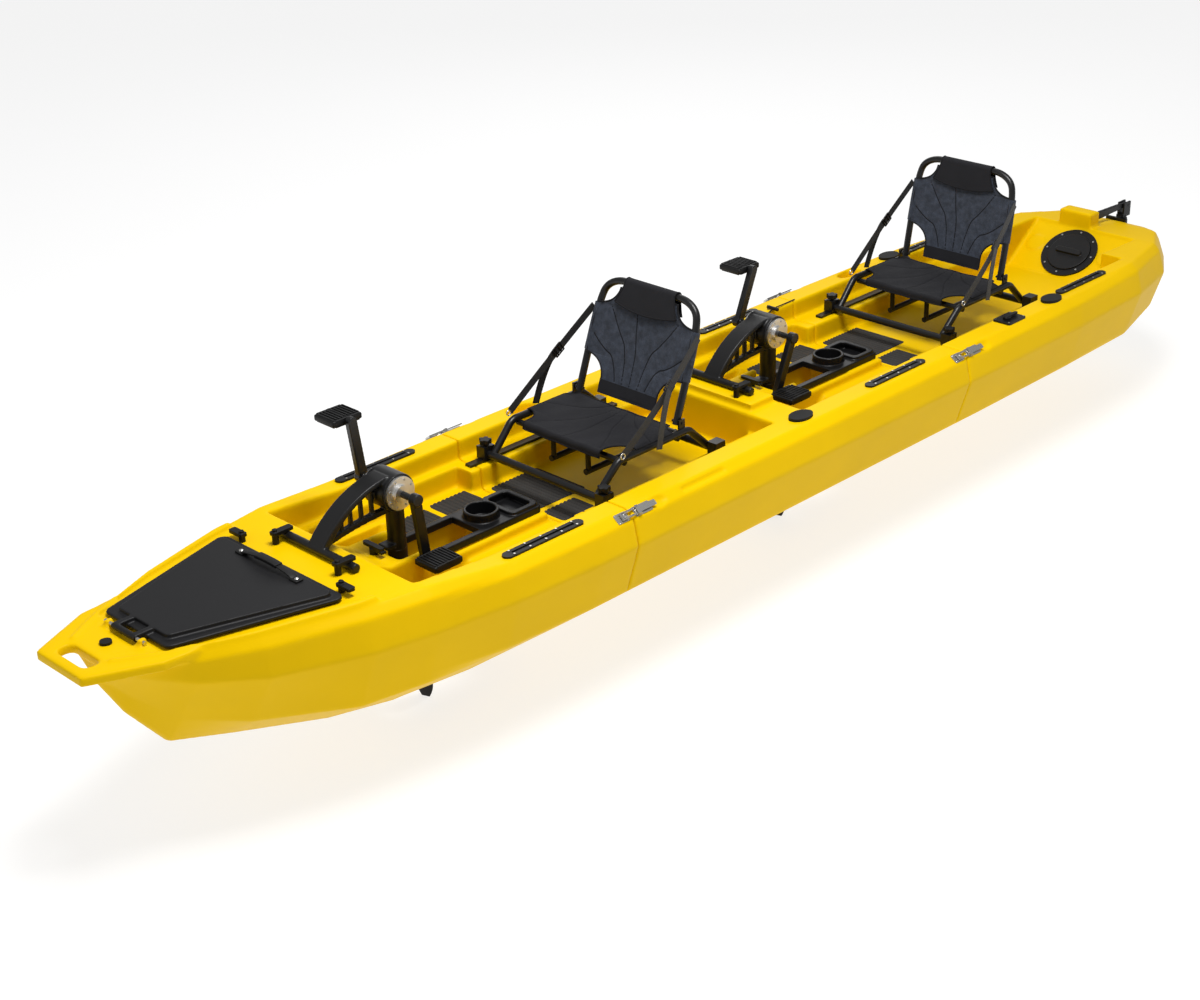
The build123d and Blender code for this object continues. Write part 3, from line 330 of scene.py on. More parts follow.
def mesh_finish(color):
    """Coarse sports mesh, blue-grey, mottled where it is stretched, with painted shade darkening the openings of
    its weave, from the panel's own map in metres.
    """
    finish = Finish("backrest_mesh", color, 0.72, sheen_weight=0.06, sheen_roughness=0.5,
                    specular_ior_level=0.2)
    where = finish.place(source="UV")
    warp, weft = weave_relief(finish, 1.6 * MM, where)
    mottle = finish.noise(42.0, 7.0, 0.68, where)
    # painted shade: the openings between the threads are painted towards near black, standing in for the shade
    # seen through them
    hole_shade = finish.ramp((1 - warp) * (1 - weft), 0.42, 0.62)
    tone = finish.shade(finish.ramp(mottle, 0.32, 0.7), scaled(color, 0.62), scaled(color, 1.7))
    finish.set("Base Color", finish.overlay(hole_shade * 0.75, tone, scaled(color, 0.12)))
    finish.set("Roughness", 0.62 + 0.2 * mottle)
    return finish.relief(warp * weft + 0.5 * warp + 0.5 * weft, 0.35 * MM, 0.7)


def cloth_finish(name, color, pitch=0.7 * MM, sheen=0.25):
    """Tight woven cloth, coated on the back, from the panel's own map in metres."""
    finish = Finish(name, color, 0.78, sheen_weight=sheen * 0.2, sheen_roughness=0.45,
                    specular_ior_level=0.2)
    where = finish.place(source="UV")
    warp, weft = weave_relief(finish, pitch, where)
    cloud = finish.noise(18.0, 6.0, 0.6, where)
    finish.set("Base Color", finish.shade(cloud, scaled(color, 0.65), scaled(color, 1.7)))
    finish.set("Roughness", 0.70 + 0.16 * cloud)
    return finish.relief(warp * weft + cloud * 0.4, 0.22 * MM, 0.6)


# ---------------------------------------------------------------- mesh helpers
def finish_mesh(obj, smooth_angle=38):
    """Smooth shading, with edges kept sharp past an angle in degrees."""
    mesh = obj.data
    mesh.shade_smooth()
    mesh.set_sharp_from_angle(angle=radians(smooth_angle))
    return obj


def new_piece(name, bm, finish, smooth_angle=38):
    """Makes a linked object from a bmesh."""
    bmesh.ops.recalc_face_normals(bm, faces=bm.faces)
    mesh = bpy.data.meshes.new(name)
    bm.to_mesh(mesh)
    bm.free()
    return piece_of(name, mesh, finish, smooth_angle)


def piece_of(name, mesh, finish, smooth_angle=38):
    """Links a mesh as a piece with one finish."""
    mesh.materials.clear()
    mesh.materials.append(finish.material)
    obj = bpy.data.objects.new(name, mesh)
    bpy.context.scene.collection.objects.link(obj)
    return finish_mesh(obj, smooth_angle)


def settle(obj, body, stands_for=()):
    """Gives a piece its body and the nodes that it stands for."""
    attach(obj, body)
    if stands_for:
        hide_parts(*stands_for)
    return obj


def modified(obj, *modifiers):
    """Applies modifiers, each given as a type and its settings, in turn."""
    for kind, settings in modifiers:
        modifier = obj.modifiers.new(kind.title(), kind)
        for key, value in settings.items():
            setattr(modifier, key, value)
    view = bpy.context.evaluated_depsgraph_get()
    mesh = bpy.data.meshes.new_from_object(obj.evaluated_get(view))
    old = obj.data
    obj.modifiers.clear()
    obj.data = mesh
    bpy.data.meshes.remove(old)
    return obj


def merged_copy(node):
    """A bmesh of one CAD node with its loose triangles joined."""
    bm = bmesh.new()
    bm.from_mesh(nodes[node].data)
    bmesh.ops.remove_doubles(bm, verts=bm.verts, dist=0.01 * MM)
    return bm


def islands(bm):
    """Groups of vertices that hang together."""
    left = set(bm.verts)
    groups = []
    while left:
        start = left.pop()
        group, front = {start}, [start]
        while front:
            vertex = front.pop()
            for edge in vertex.link_edges:
                other = edge.other_vert(vertex)
                if other in left:
                    left.discard(other)
                    group.add(other)
                    front.append(other)
        groups.append(group)
    return groups


def outer_skin(bm):
    """Drops every closed skin except the one with the largest span along X."""
    groups = islands(bm)
    keep = max(groups, key=lambda group: max(v.co.x for v in group) - min(v.co.x for v in group))
    for group in groups:
        if group is not keep:
            bmesh.ops.delete(bm, geom=list(group), context="VERTS")
    return bm


def box_into(bm, low, high, edge=0.0, segments=3):
    """Adds a box between two corners to a bmesh, its edges rounded."""
    low, high = Vector(low), Vector(high)
    made = bmesh.ops.create_cube(bm, size=1.0)["verts"]
    bmesh.ops.scale(bm, verts=made, vec=high - low)
    bmesh.ops.translate(bm, verts=made, vec=(low + high) / 2)
    if edge:
        edges = list({e for v in made for e in v.link_edges})
        bmesh.ops.bevel(bm, geom=edges, offset=edge, affect="EDGES", segments=segments, profile=0.5,
                        material=-1, clamp_overlap=True)
    return bm


def turned_into(bm, outline, centre, axis, steps=48, close=False):
    """Adds a full turn of an outline of (radius, height) points round an axis."""
    axis = Vector(axis).normalized()
    side = axis.orthogonal().normalized()
    centre = Vector(centre)
    ring = [bm.verts.new(centre + side * radius + axis * height) for radius, height in outline]
    pairs = list(zip(ring, ring[1:])) + ([(ring[-1], ring[0])] if close else [])
    edges = [bm.edges.new(pair) for pair in pairs]
    bmesh.ops.spin(bm, geom=ring + edges, cent=centre, axis=axis, angle=2 * pi, steps=steps, use_merge=True)
    bmesh.ops.remove_doubles(bm, verts=bm.verts, dist=0.005 * MM)
    return bm


def heads_into(bm, outline, places, axis, steps):
    """Adds round heads of screws, bolts or rivets; the outline is in millimetres."""
    for place in places:
        turned_into(bm, [(radius * MM, height * MM) for radius, height in outline], place, axis, steps)
    return bm


def rod_into(bm, start, end, radius, segments=12):
    """Adds a capped rod between two points."""
    start, end = Vector(start), Vector(end)
    along = end - start
    turn = along.to_track_quat("Z", "Y").to_matrix().to_4x4()
    bmesh.ops.create_cone(bm, cap_ends=True, segments=segments, radius1=radius, radius2=radius,
                          depth=along.length, matrix=Matrix.Translation((start + end) / 2) @ turn)
    return bm


def smooth_line(points):
    """A NURBS curve through the neighbourhood of its points, ending on the first and last."""
    curve = bpy.data.curves.new("line", "CURVE")
    curve.dimensions = "3D"
    curve.resolution_u = 10
    spline = curve.splines.new("NURBS")
    spline.points.add(len(points) - 1)
    for point, place in zip(spline.points, points):
        point.co = (*place, 1)
    spline.order_u = 3
    spline.use_endpoint_u = True
    return curve


def sampled(points):
    """Points along the smooth line of a route."""
    curve = smooth_line(points)
    holder = bpy.data.objects.new("line", curve)
    mesh = bpy.data.meshes.new_from_object(holder)
    line = [vertex.co.copy() for vertex in mesh.vertices]
    bpy.data.objects.remove(holder)
    bpy.data.meshes.remove(mesh)
    return line


def tube_piece(name, points, radius, finish, segments):
    """A round tube along a smooth line, as a mesh with closed ends."""
    curve = smooth_line(points)
    curve.bevel_depth = radius
    curve.bevel_resolution = segments
    curve.use_fill_caps = True
    holder = bpy.data.objects.new("tube", curve)
    mesh = bpy.data.meshes.new_from_object(holder)
    bpy.data.objects.remove(holder)
    bm = bmesh.new()
    bm.from_mesh(mesh)
    bmesh.ops.remove_doubles(bm, verts=bm.verts, dist=0.01 * MM)
    return new_piece(name, bm, finish, 50)


def ribbon_into(bm, line, width, thickness, across):
    """Adds a flat closed ribbon along a line of points; across gives its width direction at each point."""
    rings = []
    for index, point in enumerate(line):
        before, after = line[max(index - 1, 0)], line[min(index + 1, len(line) - 1)]
        along = (after - before).normalized()
        side = across(index / (len(line) - 1)).normalized()
        side = (side - along * side.dot(along)).normalized()
        up = side.cross(along)
        corners = ((-1, -1), (1, -1), (1, 1), (-1, 1))
        rings.append([bm.verts.new(point + side * (s * width / 2) + up * (u * thickness / 2))
                      for s, u in corners])
    for first, second in zip(rings, rings[1:]):
        loop = [bm.edges.get((first[i], first[i - 1])) or bm.edges.new((first[i], first[i - 1]))
                for i in range(4)]
        loop += [bm.edges.new((second[i], second[i - 1])) for i in range(4)]
        bmesh.ops.bridge_loops(bm, edges=loop)
    bm.faces.new(rings[0])
    bm.faces.new(reversed(rings[-1]))
    return bm


def map_flat(obj, origin, right, up):
    """Gives a mesh a map in metres on a plane."""
    layer = obj.data.uv_layers.get("cloth") or obj.data.uv_layers.new(name="cloth")
    origin, right, up = Vector(origin), Vector(right), Vector(up)
    for loop in obj.data.loops:
        place = obj.data.vertices[loop.vertex_index].co - origin
        layer.data[loop.index].uv = (place.dot(right), place.dot(up))
    return obj


def softened(name, node, finish, voxel, rounds, factor=0.5, triangles=None, smooth_angle=50, cuts=None):
    """A CAD node's shape with its edges rounded as a mould or a casting leaves them."""
    bm = merged_copy(node) if isinstance(node, str) else node
    mesh = bpy.data.meshes.new(name)
    bm.to_mesh(mesh)
    bm.free()
    obj = piece_of(name, mesh, finish)
    steps = []
    if cuts is not None:
        steps.append(("BOOLEAN", {"operation": "DIFFERENCE", "solver": "EXACT", "object": cuts,
                                  "use_self": True}))
    steps.append(("REMESH", {"mode": "VOXEL", "voxel_size": voxel, "adaptivity": 0.0}))
    steps.append(("SMOOTH", {"factor": factor, "iterations": rounds}))
    modified(obj, *steps)
    if cuts is not None:
        bpy.data.objects.remove(cuts)
    faces = len(obj.data.polygons) * 2
    if triangles and faces > triangles:
        modified(obj, ("DECIMATE", {"ratio": triangles / faces}))
    obj.data.materials.clear()
    obj.data.materials.append(finish.material)
    return finish_mesh(obj, smooth_angle)


# ---------------------------------------------------------------- stage
class KAYAK_OT_stage(bpy.types.Operator):
    """Pale floor, soft studio light and the camera."""

    bl_idname = "kayak.stage"
    bl_label = "Stage"

    def execute(self, context):
        self.floor()
        self.lights(context.scene)
        self.camera(context.scene)
        return {"FINISHED"}

    def floor(self):
        finish = Finish("studio_floor", (0.30, 0.30, 0.30), 0.8, specular_ior_level=0.1,
                        emission_color=(1, 1, 1, 1), emission_strength=0.76)
        finish.set("Roughness", 0.55 + 0.1 * finish.noise(1.5))
        bm = bmesh.new()
        bmesh.ops.create_grid(bm, x_segments=1, y_segments=1, size=40.0)
        bmesh.ops.translate(bm, verts=bm.verts, vec=(0, 0, cad_low.z - 1 * MM))
        new_piece("studio_floor", bm, finish)

    def lights(self, scene):
        world = bpy.data.worlds.new("studio")
        world.use_nodes = True
        world.node_tree.nodes["Background"].inputs["Color"].default_value = (1.0, 1.0, 1.0, 1)
        world.node_tree.nodes["Background"].inputs["Strength"].default_value = 0.36
        scene.world = world
        scene.view_settings.view_transform = "Standard"
        lamps = (
            ("key", (0.7, 1.0, 5.0), 1.8, 260.0),
            ("fill", (5.2, -1.6, 3.0), 3.0, 18.0),
            ("rim", (-3.8, -3.6, 3.4), 3.0, 45.0),
        )
        for name, place, size, power in lamps:
            data = bpy.data.lights.new(name, "AREA")
            data.shape = "SQUARE"
            data.size = size
            data.energy = power
            lamp = bpy.data.objects.new(name, data)
            scene.collection.objects.link(lamp)
            lamp.location = place
            lamp.rotation_euler = (Vector((0, 0, 0.3)) - Vector(place)).to_track_quat("-Z", "Y").to_euler()

    def camera(self, scene):
        azimuth, elevation, roll = radians(135.558), radians(25.827), radians(-1.8152)
        back = Vector((sin(azimuth) * cos(elevation), -cos(azimuth) * cos(elevation), sin(elevation)))
        level = (-back).cross(Vector((0, 0, 1))).normalized()
        upright = level.cross(-back)
        right = level * cos(roll) + upright * sin(roll)
        up = upright * cos(roll) - level * sin(roll)
        data = bpy.data.cameras.new("camera")
        data.sensor_width = 36.0
        data.lens = 60.83
        data.clip_start, data.clip_end = 0.05, 200.0
        eye = bpy.data.objects.new("camera", data)
        scene.collection.objects.link(eye)
        eye.matrix_world = Matrix.Translation((4.1939, 3.7861, 2.7539)) @ Matrix(
            (right, up, back)).transposed().to_4x4()
        scene.camera = eye


# ---------------------------------------------------------------- hull
class KAYAK_OT_hull(bpy.types.Operator):
    """The three moulded shells, each a closed skin with rounded edges."""

    bl_idname = "kayak.hull"
    bl_label = "Hull shells"

    def execute(self, context):
        settings = context.scene.kayak_hull
        finish = hull_finish(settings.color)
        for node in ("bow_hull", "mid_hull", "stern_hull"):
            bm = merged_copy(node)
            if node == "stern_hull":
                self.close_hatch(bm)
                self.bosses(bm)
            else:
                outer_skin(bm)
            if node == "bow_hull":
                self.rims(bm, settings.rim_height)
            low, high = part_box(node)
            cuts = self.cuts(low.x, high.x, high.y)
            shell = softened(node.replace("_hull", "_shell"), bm, finish, settings.voxel,
                             settings.rounding, triangles=180000, cuts=cuts)
            settle(shell, "root", (node,))
        return {"FINISHED"}

    # places along the hull and sides of what is pressed into the gunwales, and the size of each kind
    finger_pockets = ((0.640, 1), (0.640, -1), (-0.860, 1), (-0.860, -1))
    bevel_slots = ((0.460, 1), (0.460, -1))
    cup_wells = ((0.470, -1), (-1.090, -1))
    pocket_size = (30 * MM, 17 * MM, 9 * MM)
    slot_size = (180 * MM, 15 * MM, 14 * MM)
    well_size = (58 * MM, 27 * MM, 60 * MM)
    bevel_inset, bevel_height, bevel_tilt = 32 * MM, 368 * MM, radians(36.9)
    well_inset, well_height = 84 * MM, 372 * MM
    seam_margin = 50 * MM

    def cuts(self, start, end, beam):
        """Finger pockets behind the latches, slots in the gunwale's bevel and oval cup wells on its top."""
        bm = bmesh.new()

        def press(places, scale, inset, height, tilt, create, **shape):
            for x, side in places:
                if start + self.seam_margin < x < end - self.seam_margin:
                    made = create(bm, **shape)["verts"]
                    place = Matrix.Translation((x, side * (beam - inset), height))
                    place = place @ Matrix.Rotation(-side * tilt, 4, "X") @ Matrix.Diagonal((*scale, 1))
                    bmesh.ops.transform(bm, matrix=place, verts=made)

        bevel = (self.bevel_inset, self.bevel_height, self.bevel_tilt)
        press(self.finger_pockets, self.pocket_size, *bevel, bmesh.ops.create_uvsphere,
              u_segments=32, v_segments=16, radius=1.0)
        press(self.bevel_slots, self.slot_size, *bevel, bmesh.ops.create_cube, size=1.0)
        press(self.cup_wells, self.well_size, self.well_inset, self.well_height, 0.0,
              bmesh.ops.create_cone, cap_ends=True, segments=48, radius1=0.86, radius2=1.0, depth=1.0)
        if not bm.verts:
            bm.free()
            return None
        mesh = bpy.data.meshes.new("cuts")
        bm.to_mesh(mesh)
        bm.free()
        obj = bpy.data.objects.new("cuts", mesh)
        bpy.context.scene.collection.objects.link(obj)
        return obj

    # deck edge from the lid's rear corner to the bow handle: x, outer half width, rim width
    rim_line = ((1.548, 0.312, 0.026), (1.60, 0.305, 0.026), (1.72, 0.272, 0.022), (1.85, 0.235, 0.018),
                (1.93, 0.202, 0.013), (2.00, 0.172, 0.012), (2.05, 0.148, 0.010), (2.10, 0.123, 0.010),
                (2.16, 0.086, 0.010))

    def rims(self, bm, height):
        """Raised edges along both sides of the bow lid."""
        deck = 402 * MM
        for side in SIDES:
            rings = []
            for x, half, width in self.rim_line:
                section = ((half + 1 * MM, deck - 5 * MM), (half - 5 * MM, deck + height),
                           (half - width + 2 * MM, deck + height), (half - width, deck - 5 * MM))
                rings.append([bm.verts.new((x, side * y, z)) for y, z in section])
            for first, second in zip(rings, rings[1:]):
                for i in range(4):
                    bm.faces.new((first[i], first[i - 1], second[i - 1], second[i]))
            bm.faces.new(rings[0])
            bm.faces.new(reversed(rings[-1]))
        bmesh.ops.recalc_face_normals(bm, faces=bm.faces)

    # fall of the deck at the round hatch, over its run
    hatch_slope = 0.7265

    def hatch(self):
        """The round hatch's centre, and the line that is square to its slope."""
        low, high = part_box("hatch_ring")
        return (low + high) / 2, Vector((self.hatch_slope, 0, 1.0)).normalized()

    def bosses(self, bm):
        """Low round bosses moulded on the slope beside the round hatch."""
        middle, axis = self.hatch()
        uphill = Vector((-axis.z, 0, axis.x))
        for side in SIDES:
            foot = middle + Vector((0, side * 0.150, 0)) + uphill * 0.012
            rod_into(bm, foot - axis * 14 * MM, foot + axis * 2.5 * MM, 34 * MM, 48)

    def close_hatch(self, bm):
        """Parts the outside from the inside at the round hatch's bore, and closes the hole that leaves."""
        middle, axis = self.hatch()

        def reach(vertex):
            arm = vertex.co - middle
            return (arm - axis * arm.dot(axis)).length

        bore = min(reach(v) for v in bm.verts if (v.co - middle).length < 90 * MM)
        wall = [face for face in bm.faces
                if all(reach(v) < bore + 1 * MM and (v.co - middle).length < 100 * MM for v in face.verts)]
        bmesh.ops.delete(bm, geom=wall, context="FACES")
        outer_skin(bm)
        rim = [edge for edge in bm.edges if edge.is_boundary]
        bmesh.ops.holes_fill(bm, edges=rim, sides=0)


# ---------------------------------------------------------------- hatch
class KAYAK_OT_hatch(bpy.types.Operator):
    """The grained lid, its strap handle and the screws that hold it."""

    bl_idname = "kayak.hatch"
    bl_label = "Bow hatch"

    def execute(self, context):
        grain = grained_finish("lid_grain", (0.006, 0.006, 0.007), 0.40)
        rubber = black_finish("handle_rubber", (0.006, 0.006, 0.006), 0.55, 500.0, 0.2)
        bright = steel_finish("bright_screws", (0.66, 0.65, 0.62), 0.2)
        lid = softened("lid_shell", "hatch_lid", grain, 2.4 * MM, 4, triangles=120000)
        settle(lid, "lid", ("hatch_lid",))
        low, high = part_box("lid_handle")
        middle, foot, half = (low.x + high.x) / 2, low.z, high.y
        handle = self.handle(rubber, middle, foot, high.z, half)
        settle(handle, "lid", ("lid_handle",))
        bm = bmesh.new()
        places = [(middle, side * (half - 13 * MM), foot + 4.6 * MM) for side in SIDES]
        heads_into(bm, ((0, 0), (6, 0), (6, 1.2), (4.4, 3), (2, 3.8), (0, 4)), places, (0, 0, 1), 24)
        settle(new_piece("lid_handle_screws", bm, bright), "lid")
        return {"FINISHED"}

    def handle(self, finish, middle, foot, top, half):
        """A moulded band between two end plates, thicker where it is gripped."""
        bm = bmesh.new()
        for side in SIDES:
            near, far = sorted((side * (half - 30 * MM), side * half))
            box_into(bm, (middle - 12 * MM, near, foot), (middle + 12 * MM, far, foot + 5 * MM), 2.2 * MM)
        rise = top - foot - 6 * MM
        line = []
        for step in range(25):
            share = step / 24
            level = sin(pi * share) ** 0.6 if 0 < share < 1 else 0
            line.append(Vector((middle, (half - 22 * MM) * (2 * share - 1), foot + 4 * MM + rise * level)))
        ribbon_into(bm, line, 19 * MM, 4 * MM, lambda share: Vector((1, 0, 0)))
        grip = [point for point in line if abs(point.y) < 52 * MM]
        ribbon_into(bm, [point + Vector((0, 0, 0.5 * MM)) for point in grip], 23 * MM, 9 * MM,
                    lambda share: Vector((1, 0, 0)))
        obj = new_piece("lid_strap", bm, finish)
        modified(obj, ("BEVEL", {"width": 1.3 * MM, "segments": 2, "limit_method": "ANGLE",
                                 "angle_limit": radians(40)}))
        return finish_mesh(obj)


# ---------------------------------------------------------------- drives
class KAYAK_OT_drives(bpy.types.Operator):
    """Castings, cranks, pedals and propellers with rounded edges, and the screws of the bright covers."""

    bl_idname = "kayak.drives"
    bl_label = "Pedal drives"

    def execute(self, context):
        casting = coated_finish("cast_black", (0.005, 0.005, 0.0055), 0.40)
        arm = coated_finish("forged_black", (0.005, 0.005, 0.0055), 0.30)
        tread = black_finish("pedal_black", (0.0055, 0.0055, 0.0058), 0.50, 600.0, 0.15)
        blade = black_finish("propeller_black", (0.0055, 0.0055, 0.006), 0.40)
        bright = steel_finish("cover_screws", (0.50, 0.50, 0.49), 0.25)
        for end in ENDS:
            body = softened(f"casting_{end}", f"drive_casting_{end}", casting, 2.2 * MM, 3,
                            triangles=110000)
            settle(body, f"drive_{end}", (f"drive_casting_{end}",))
            crank = softened(f"crank_arms_{end}", f"crank_{end}", arm, 1.6 * MM, 4, triangles=50000)
            settle(crank, f"crank_{end}", (f"crank_{end}",))
            screw = softened(f"prop_{end}", f"propeller_{end}", blade, 1.2 * MM, 2, triangles=40000)
            settle(screw, f"propeller_{end}", (f"propeller_{end}",))
            for _, hand in HANDS:
                pedal = self.pedal(f"pedal_{end}_{hand}", tread)
                settle(pedal, f"pedal_{end}_{hand}", (f"pedal_{end}_{hand}",))
            settle(self.cover_screws(end, bright), f"drive_{end}")
        return {"FINISHED"}

    def pedal(self, node, finish):
        """A platform pedal: a rounded cage, a round spindle barrel and raised tread bars on both faces."""
        low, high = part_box(node)
        middle = (low + high) / 2
        bm = bmesh.new()
        box_into(bm, low + Vector((0, 0, 3 * MM)), high - Vector((0, 0, 3 * MM)), 5 * MM, 4)
        inner, outer = low.y + 0.5 * MM, high.y - 0.5 * MM
        rod_into(bm, (middle.x, inner, middle.z), (middle.x, outer, middle.z), 10.5 * MM, 24)
        bars = 9
        pitch = (high.x - low.x - 14 * MM) / (bars - 1)
        for index in range(bars):
            x = low.x + 7 * MM + index * pitch
            for foot, top in ((high.z - 4 * MM, high.z), (low.z, low.z + 4 * MM)):
                box_into(bm, (x - 2.1 * MM, low.y + 7 * MM, foot),
                         (x + 2.1 * MM, high.y - 7 * MM, top), 1 * MM, 2)
        for y in (low.y + 3.5 * MM, high.y - 3.5 * MM):
            box_into(bm, (low.x + 8 * MM, y - 3 * MM, low.z + 1.5 * MM),
                     (high.x - 8 * MM, y + 3 * MM, high.z - 1.5 * MM), 2 * MM, 3)
        return new_piece(node.replace("pedal", "pedal_cage"), bm, finish)

    def cover_screws(self, end, finish):
        """Eight small cap screws round each bright cover."""
        low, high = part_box(f"gear_covers_{end}")
        middle = (low + high) / 2
        ring = (high.z - low.z) / 2 - 8 * MM
        face = high.y - 8 * MM
        turns = [index * pi / 4 + pi / 8 for index in range(8)]
        bm = bmesh.new()
        for side in SIDES:
            places = [(middle.x + ring * cos(turn), side * face, middle.z + ring * sin(turn))
                      for turn in turns]
            heads_into(bm, ((0, 0), (3, 0), (3, 1.2), (2.2, 1.8), (0, 1.9)), places, (0, side, 0), 12)
        return new_piece(f"cover_screws_{end}", bm, finish)


# ---------------------------------------------------------------- small moulded parts
class KAYAK_OT_mouldings(bpy.types.Operator):
    """Trays, turning latches, locks, knobs, caps and the rudder, with the soft edges of moulded parts."""

    bl_idname = "kayak.mouldings"
    bl_label = "Moulded fittings"

    def execute(self, context):
        tray = black_finish("tray_black", (0.0055, 0.0055, 0.006), 0.34)
        small = black_finish("fitting_black", (0.0055, 0.0055, 0.006), 0.44)
        bodies = {node: body for body, members in frame["record"]["behaviour"]["bodies"].items()
                  for node in members}
        for end in ENDS:
            piece = softened(f"tray_{end}", f"cup_tray_{end}", tray, 1.7 * MM, 3, triangles=90000)
            settle(piece, f"tray_{end}", (f"cup_tray_{end}",))
        groups = (
            [f"bar_latch_{end}_{hand}" for end in ENDS for _, hand in HANDS]
            + [f"hatch_latch_{hand}" for _, hand in HANDS]
            + [f"drive_lock_{end}" for end in ENDS]
            + [f"seat_knob_{end}_{hand}" for end in ENDS for _, hand in HANDS]
            + ["steering_lever", "rudder_head", "rudder_blade", "round_hatch_cover"])
        for node in groups:
            low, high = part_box(node)
            detail = max(0.7 * MM, (high - low).length / 150)
            piece = softened(f"{node}_moulding", node, small, detail, 3, triangles=24000)
            settle(piece, bodies[node], (node,))
        return {"FINISHED"}


# ---------------------------------------------------------------- chairs
class Chair:
    """Places on one chair, worked out from its pivots and boxes."""

    tube_radius = 11 * MM

    def __init__(self, end, lean):
        self.end = end
        self.pivot = Vector(JOINTS[f"back_fold_{end}"]["pos_m"])
        self.rise = Vector((-sin(lean), 0, cos(lean)))
        self.facing = Vector((cos(lean), 0, sin(lean)))
        low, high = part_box(f"back_frame_{end}")
        self.half = (high.y - low.y) / 2 - self.tube_radius
        self.height = (high.z - self.pivot.z - self.tube_radius) / cos(lean) - 3 * MM
        low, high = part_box(f"seat_sling_{end}")
        self.seat_top, self.seat_half = low.z, high.y

    def back(self, y, height, depth=0.0):
        """A point on the backrest: across, up its slope and out of its face."""
        return self.pivot + self.rise * height + self.facing * depth + Vector((0, y, 0))

    def hollow(self, height, share):
        """How far the stretched back gives between its side tubes."""
        return 9 * MM * (1 - share * share) * sin(pi * min(max(height / (330 * MM), 0), 1))

    def seat(self, x, y, lift=0.0):
        """A point on the seat: ahead of the pivot, across and above the tubes."""
        return Vector((self.pivot.x + x, y, self.seat_top + lift))


def bite(place, start, end, narrow, wide):
    """Half width inside a round corner cut-out, from wide at start to narrow at end."""
    share = min(max((end - place) / (end - start), 0.0), 1.0)
    return narrow + (wide - narrow) * (1 - sqrt(max(0.0, 1 - share * share)))


def stations(marks, step):
    """Places from the first mark to the last, closer together next to each mark."""
    places = []
    for first, last in zip(marks, marks[1:]):
        count = max(4, round((last - first) / step))
        places += [first + (last - first) * (1 - cos(pi * index / count)) / 2 for index in range(count)]
    return places + [marks[-1]]


def cloth_panel(name, places, half_width, point, finish, columns, thickness=1.4 * MM):
    """A sheet on a grid: point gives where the cloth lies, from its place along and its share across."""
    bm = bmesh.new()
    bmesh.ops.create_grid(bm, x_segments=columns, y_segments=len(places) - 1, size=1.0)
    flat = {}
    for vertex in bm.verts:
        along = places[round((vertex.co.y + 1) / 2 * (len(places) - 1))]
        across = vertex.co.x * half_width(along)
        flat[vertex] = (across, along)
        vertex.co = point(across, along, vertex.co.x)
    layer = bm.loops.layers.uv.new("cloth")
    for face in bm.faces:
        for loop in face.loops:
            loop[layer].uv = flat[loop.vert]
    mesh = bpy.data.meshes.new(name)
    bm.to_mesh(mesh)
    bm.free()
    obj = piece_of(name, mesh, finish, 60)
    modified(obj, ("SOLIDIFY", {"thickness": thickness, "offset": 0.0}))
    return finish_mesh(obj, 60)


def panel_area(places, half_width):
    """Flat area of a panel between its edges."""
    return sum((half_width(a) + half_width(b)) * (b - a) for a, b in zip(places, places[1:]))


def panel_rim(places, half_width, point, steps):
    """Points round a panel's whole edge, with that many steps from its middle to each side."""
    first, last = places[0], places[-1]
    rim = [point(half_width(a), a, 1.0) for a in places]
    rim += [point(i / steps * half_width(last), last, i / steps) for i in range(steps - 1, -steps, -1)]
    rim += [point(-half_width(a), a, -1.0) for a in reversed(places)]
    rim += [point(i / steps * half_width(first), first, i / steps) for i in range(1 - steps, steps)]
    return rim


def seam_groove(seams, reach=4 * MM):
    """How deep the cloth is drawn in at a flat point, from 0 to 1."""
    points = [place for seam in seams for place in seam]
    tree = KDTree(len(points))
    for index, (across, along) in enumerate(points):
        tree.insert((across, along, 0), index)
    tree.balance()

    def groove(across, along):
        distance = tree.find((across, along, 0))[2]
        return exp(-(distance / reach) ** 2)

    return groove


def flat_curve(points):
    """Places along a smooth line through the neighbourhood of flat points given in millimetres."""
    return [(point.x, point.y) for point in sampled([(a * MM, b * MM, 0) for a, b in points])]


def piping(name, points, radius, finish):
    """A round bound edge along a closed line of points."""
    curve = bpy.data.curves.new(name, "CURVE")
    curve.dimensions = "3D"
    curve.bevel_depth = radius
    curve.bevel_resolution = 2
    spline = curve.splines.new("POLY")
    spline.points.add(len(points) - 1)
    for knot, place in zip(spline.points, points):
        knot.co = (*place, 1)
    spline.use_cyclic_u = True
    holder = bpy.data.objects.new(name, curve)
    mesh = bpy.data.meshes.new_from_object(holder)
    bpy.data.objects.remove(holder)
    return piece_of(name, mesh, finish, 60)


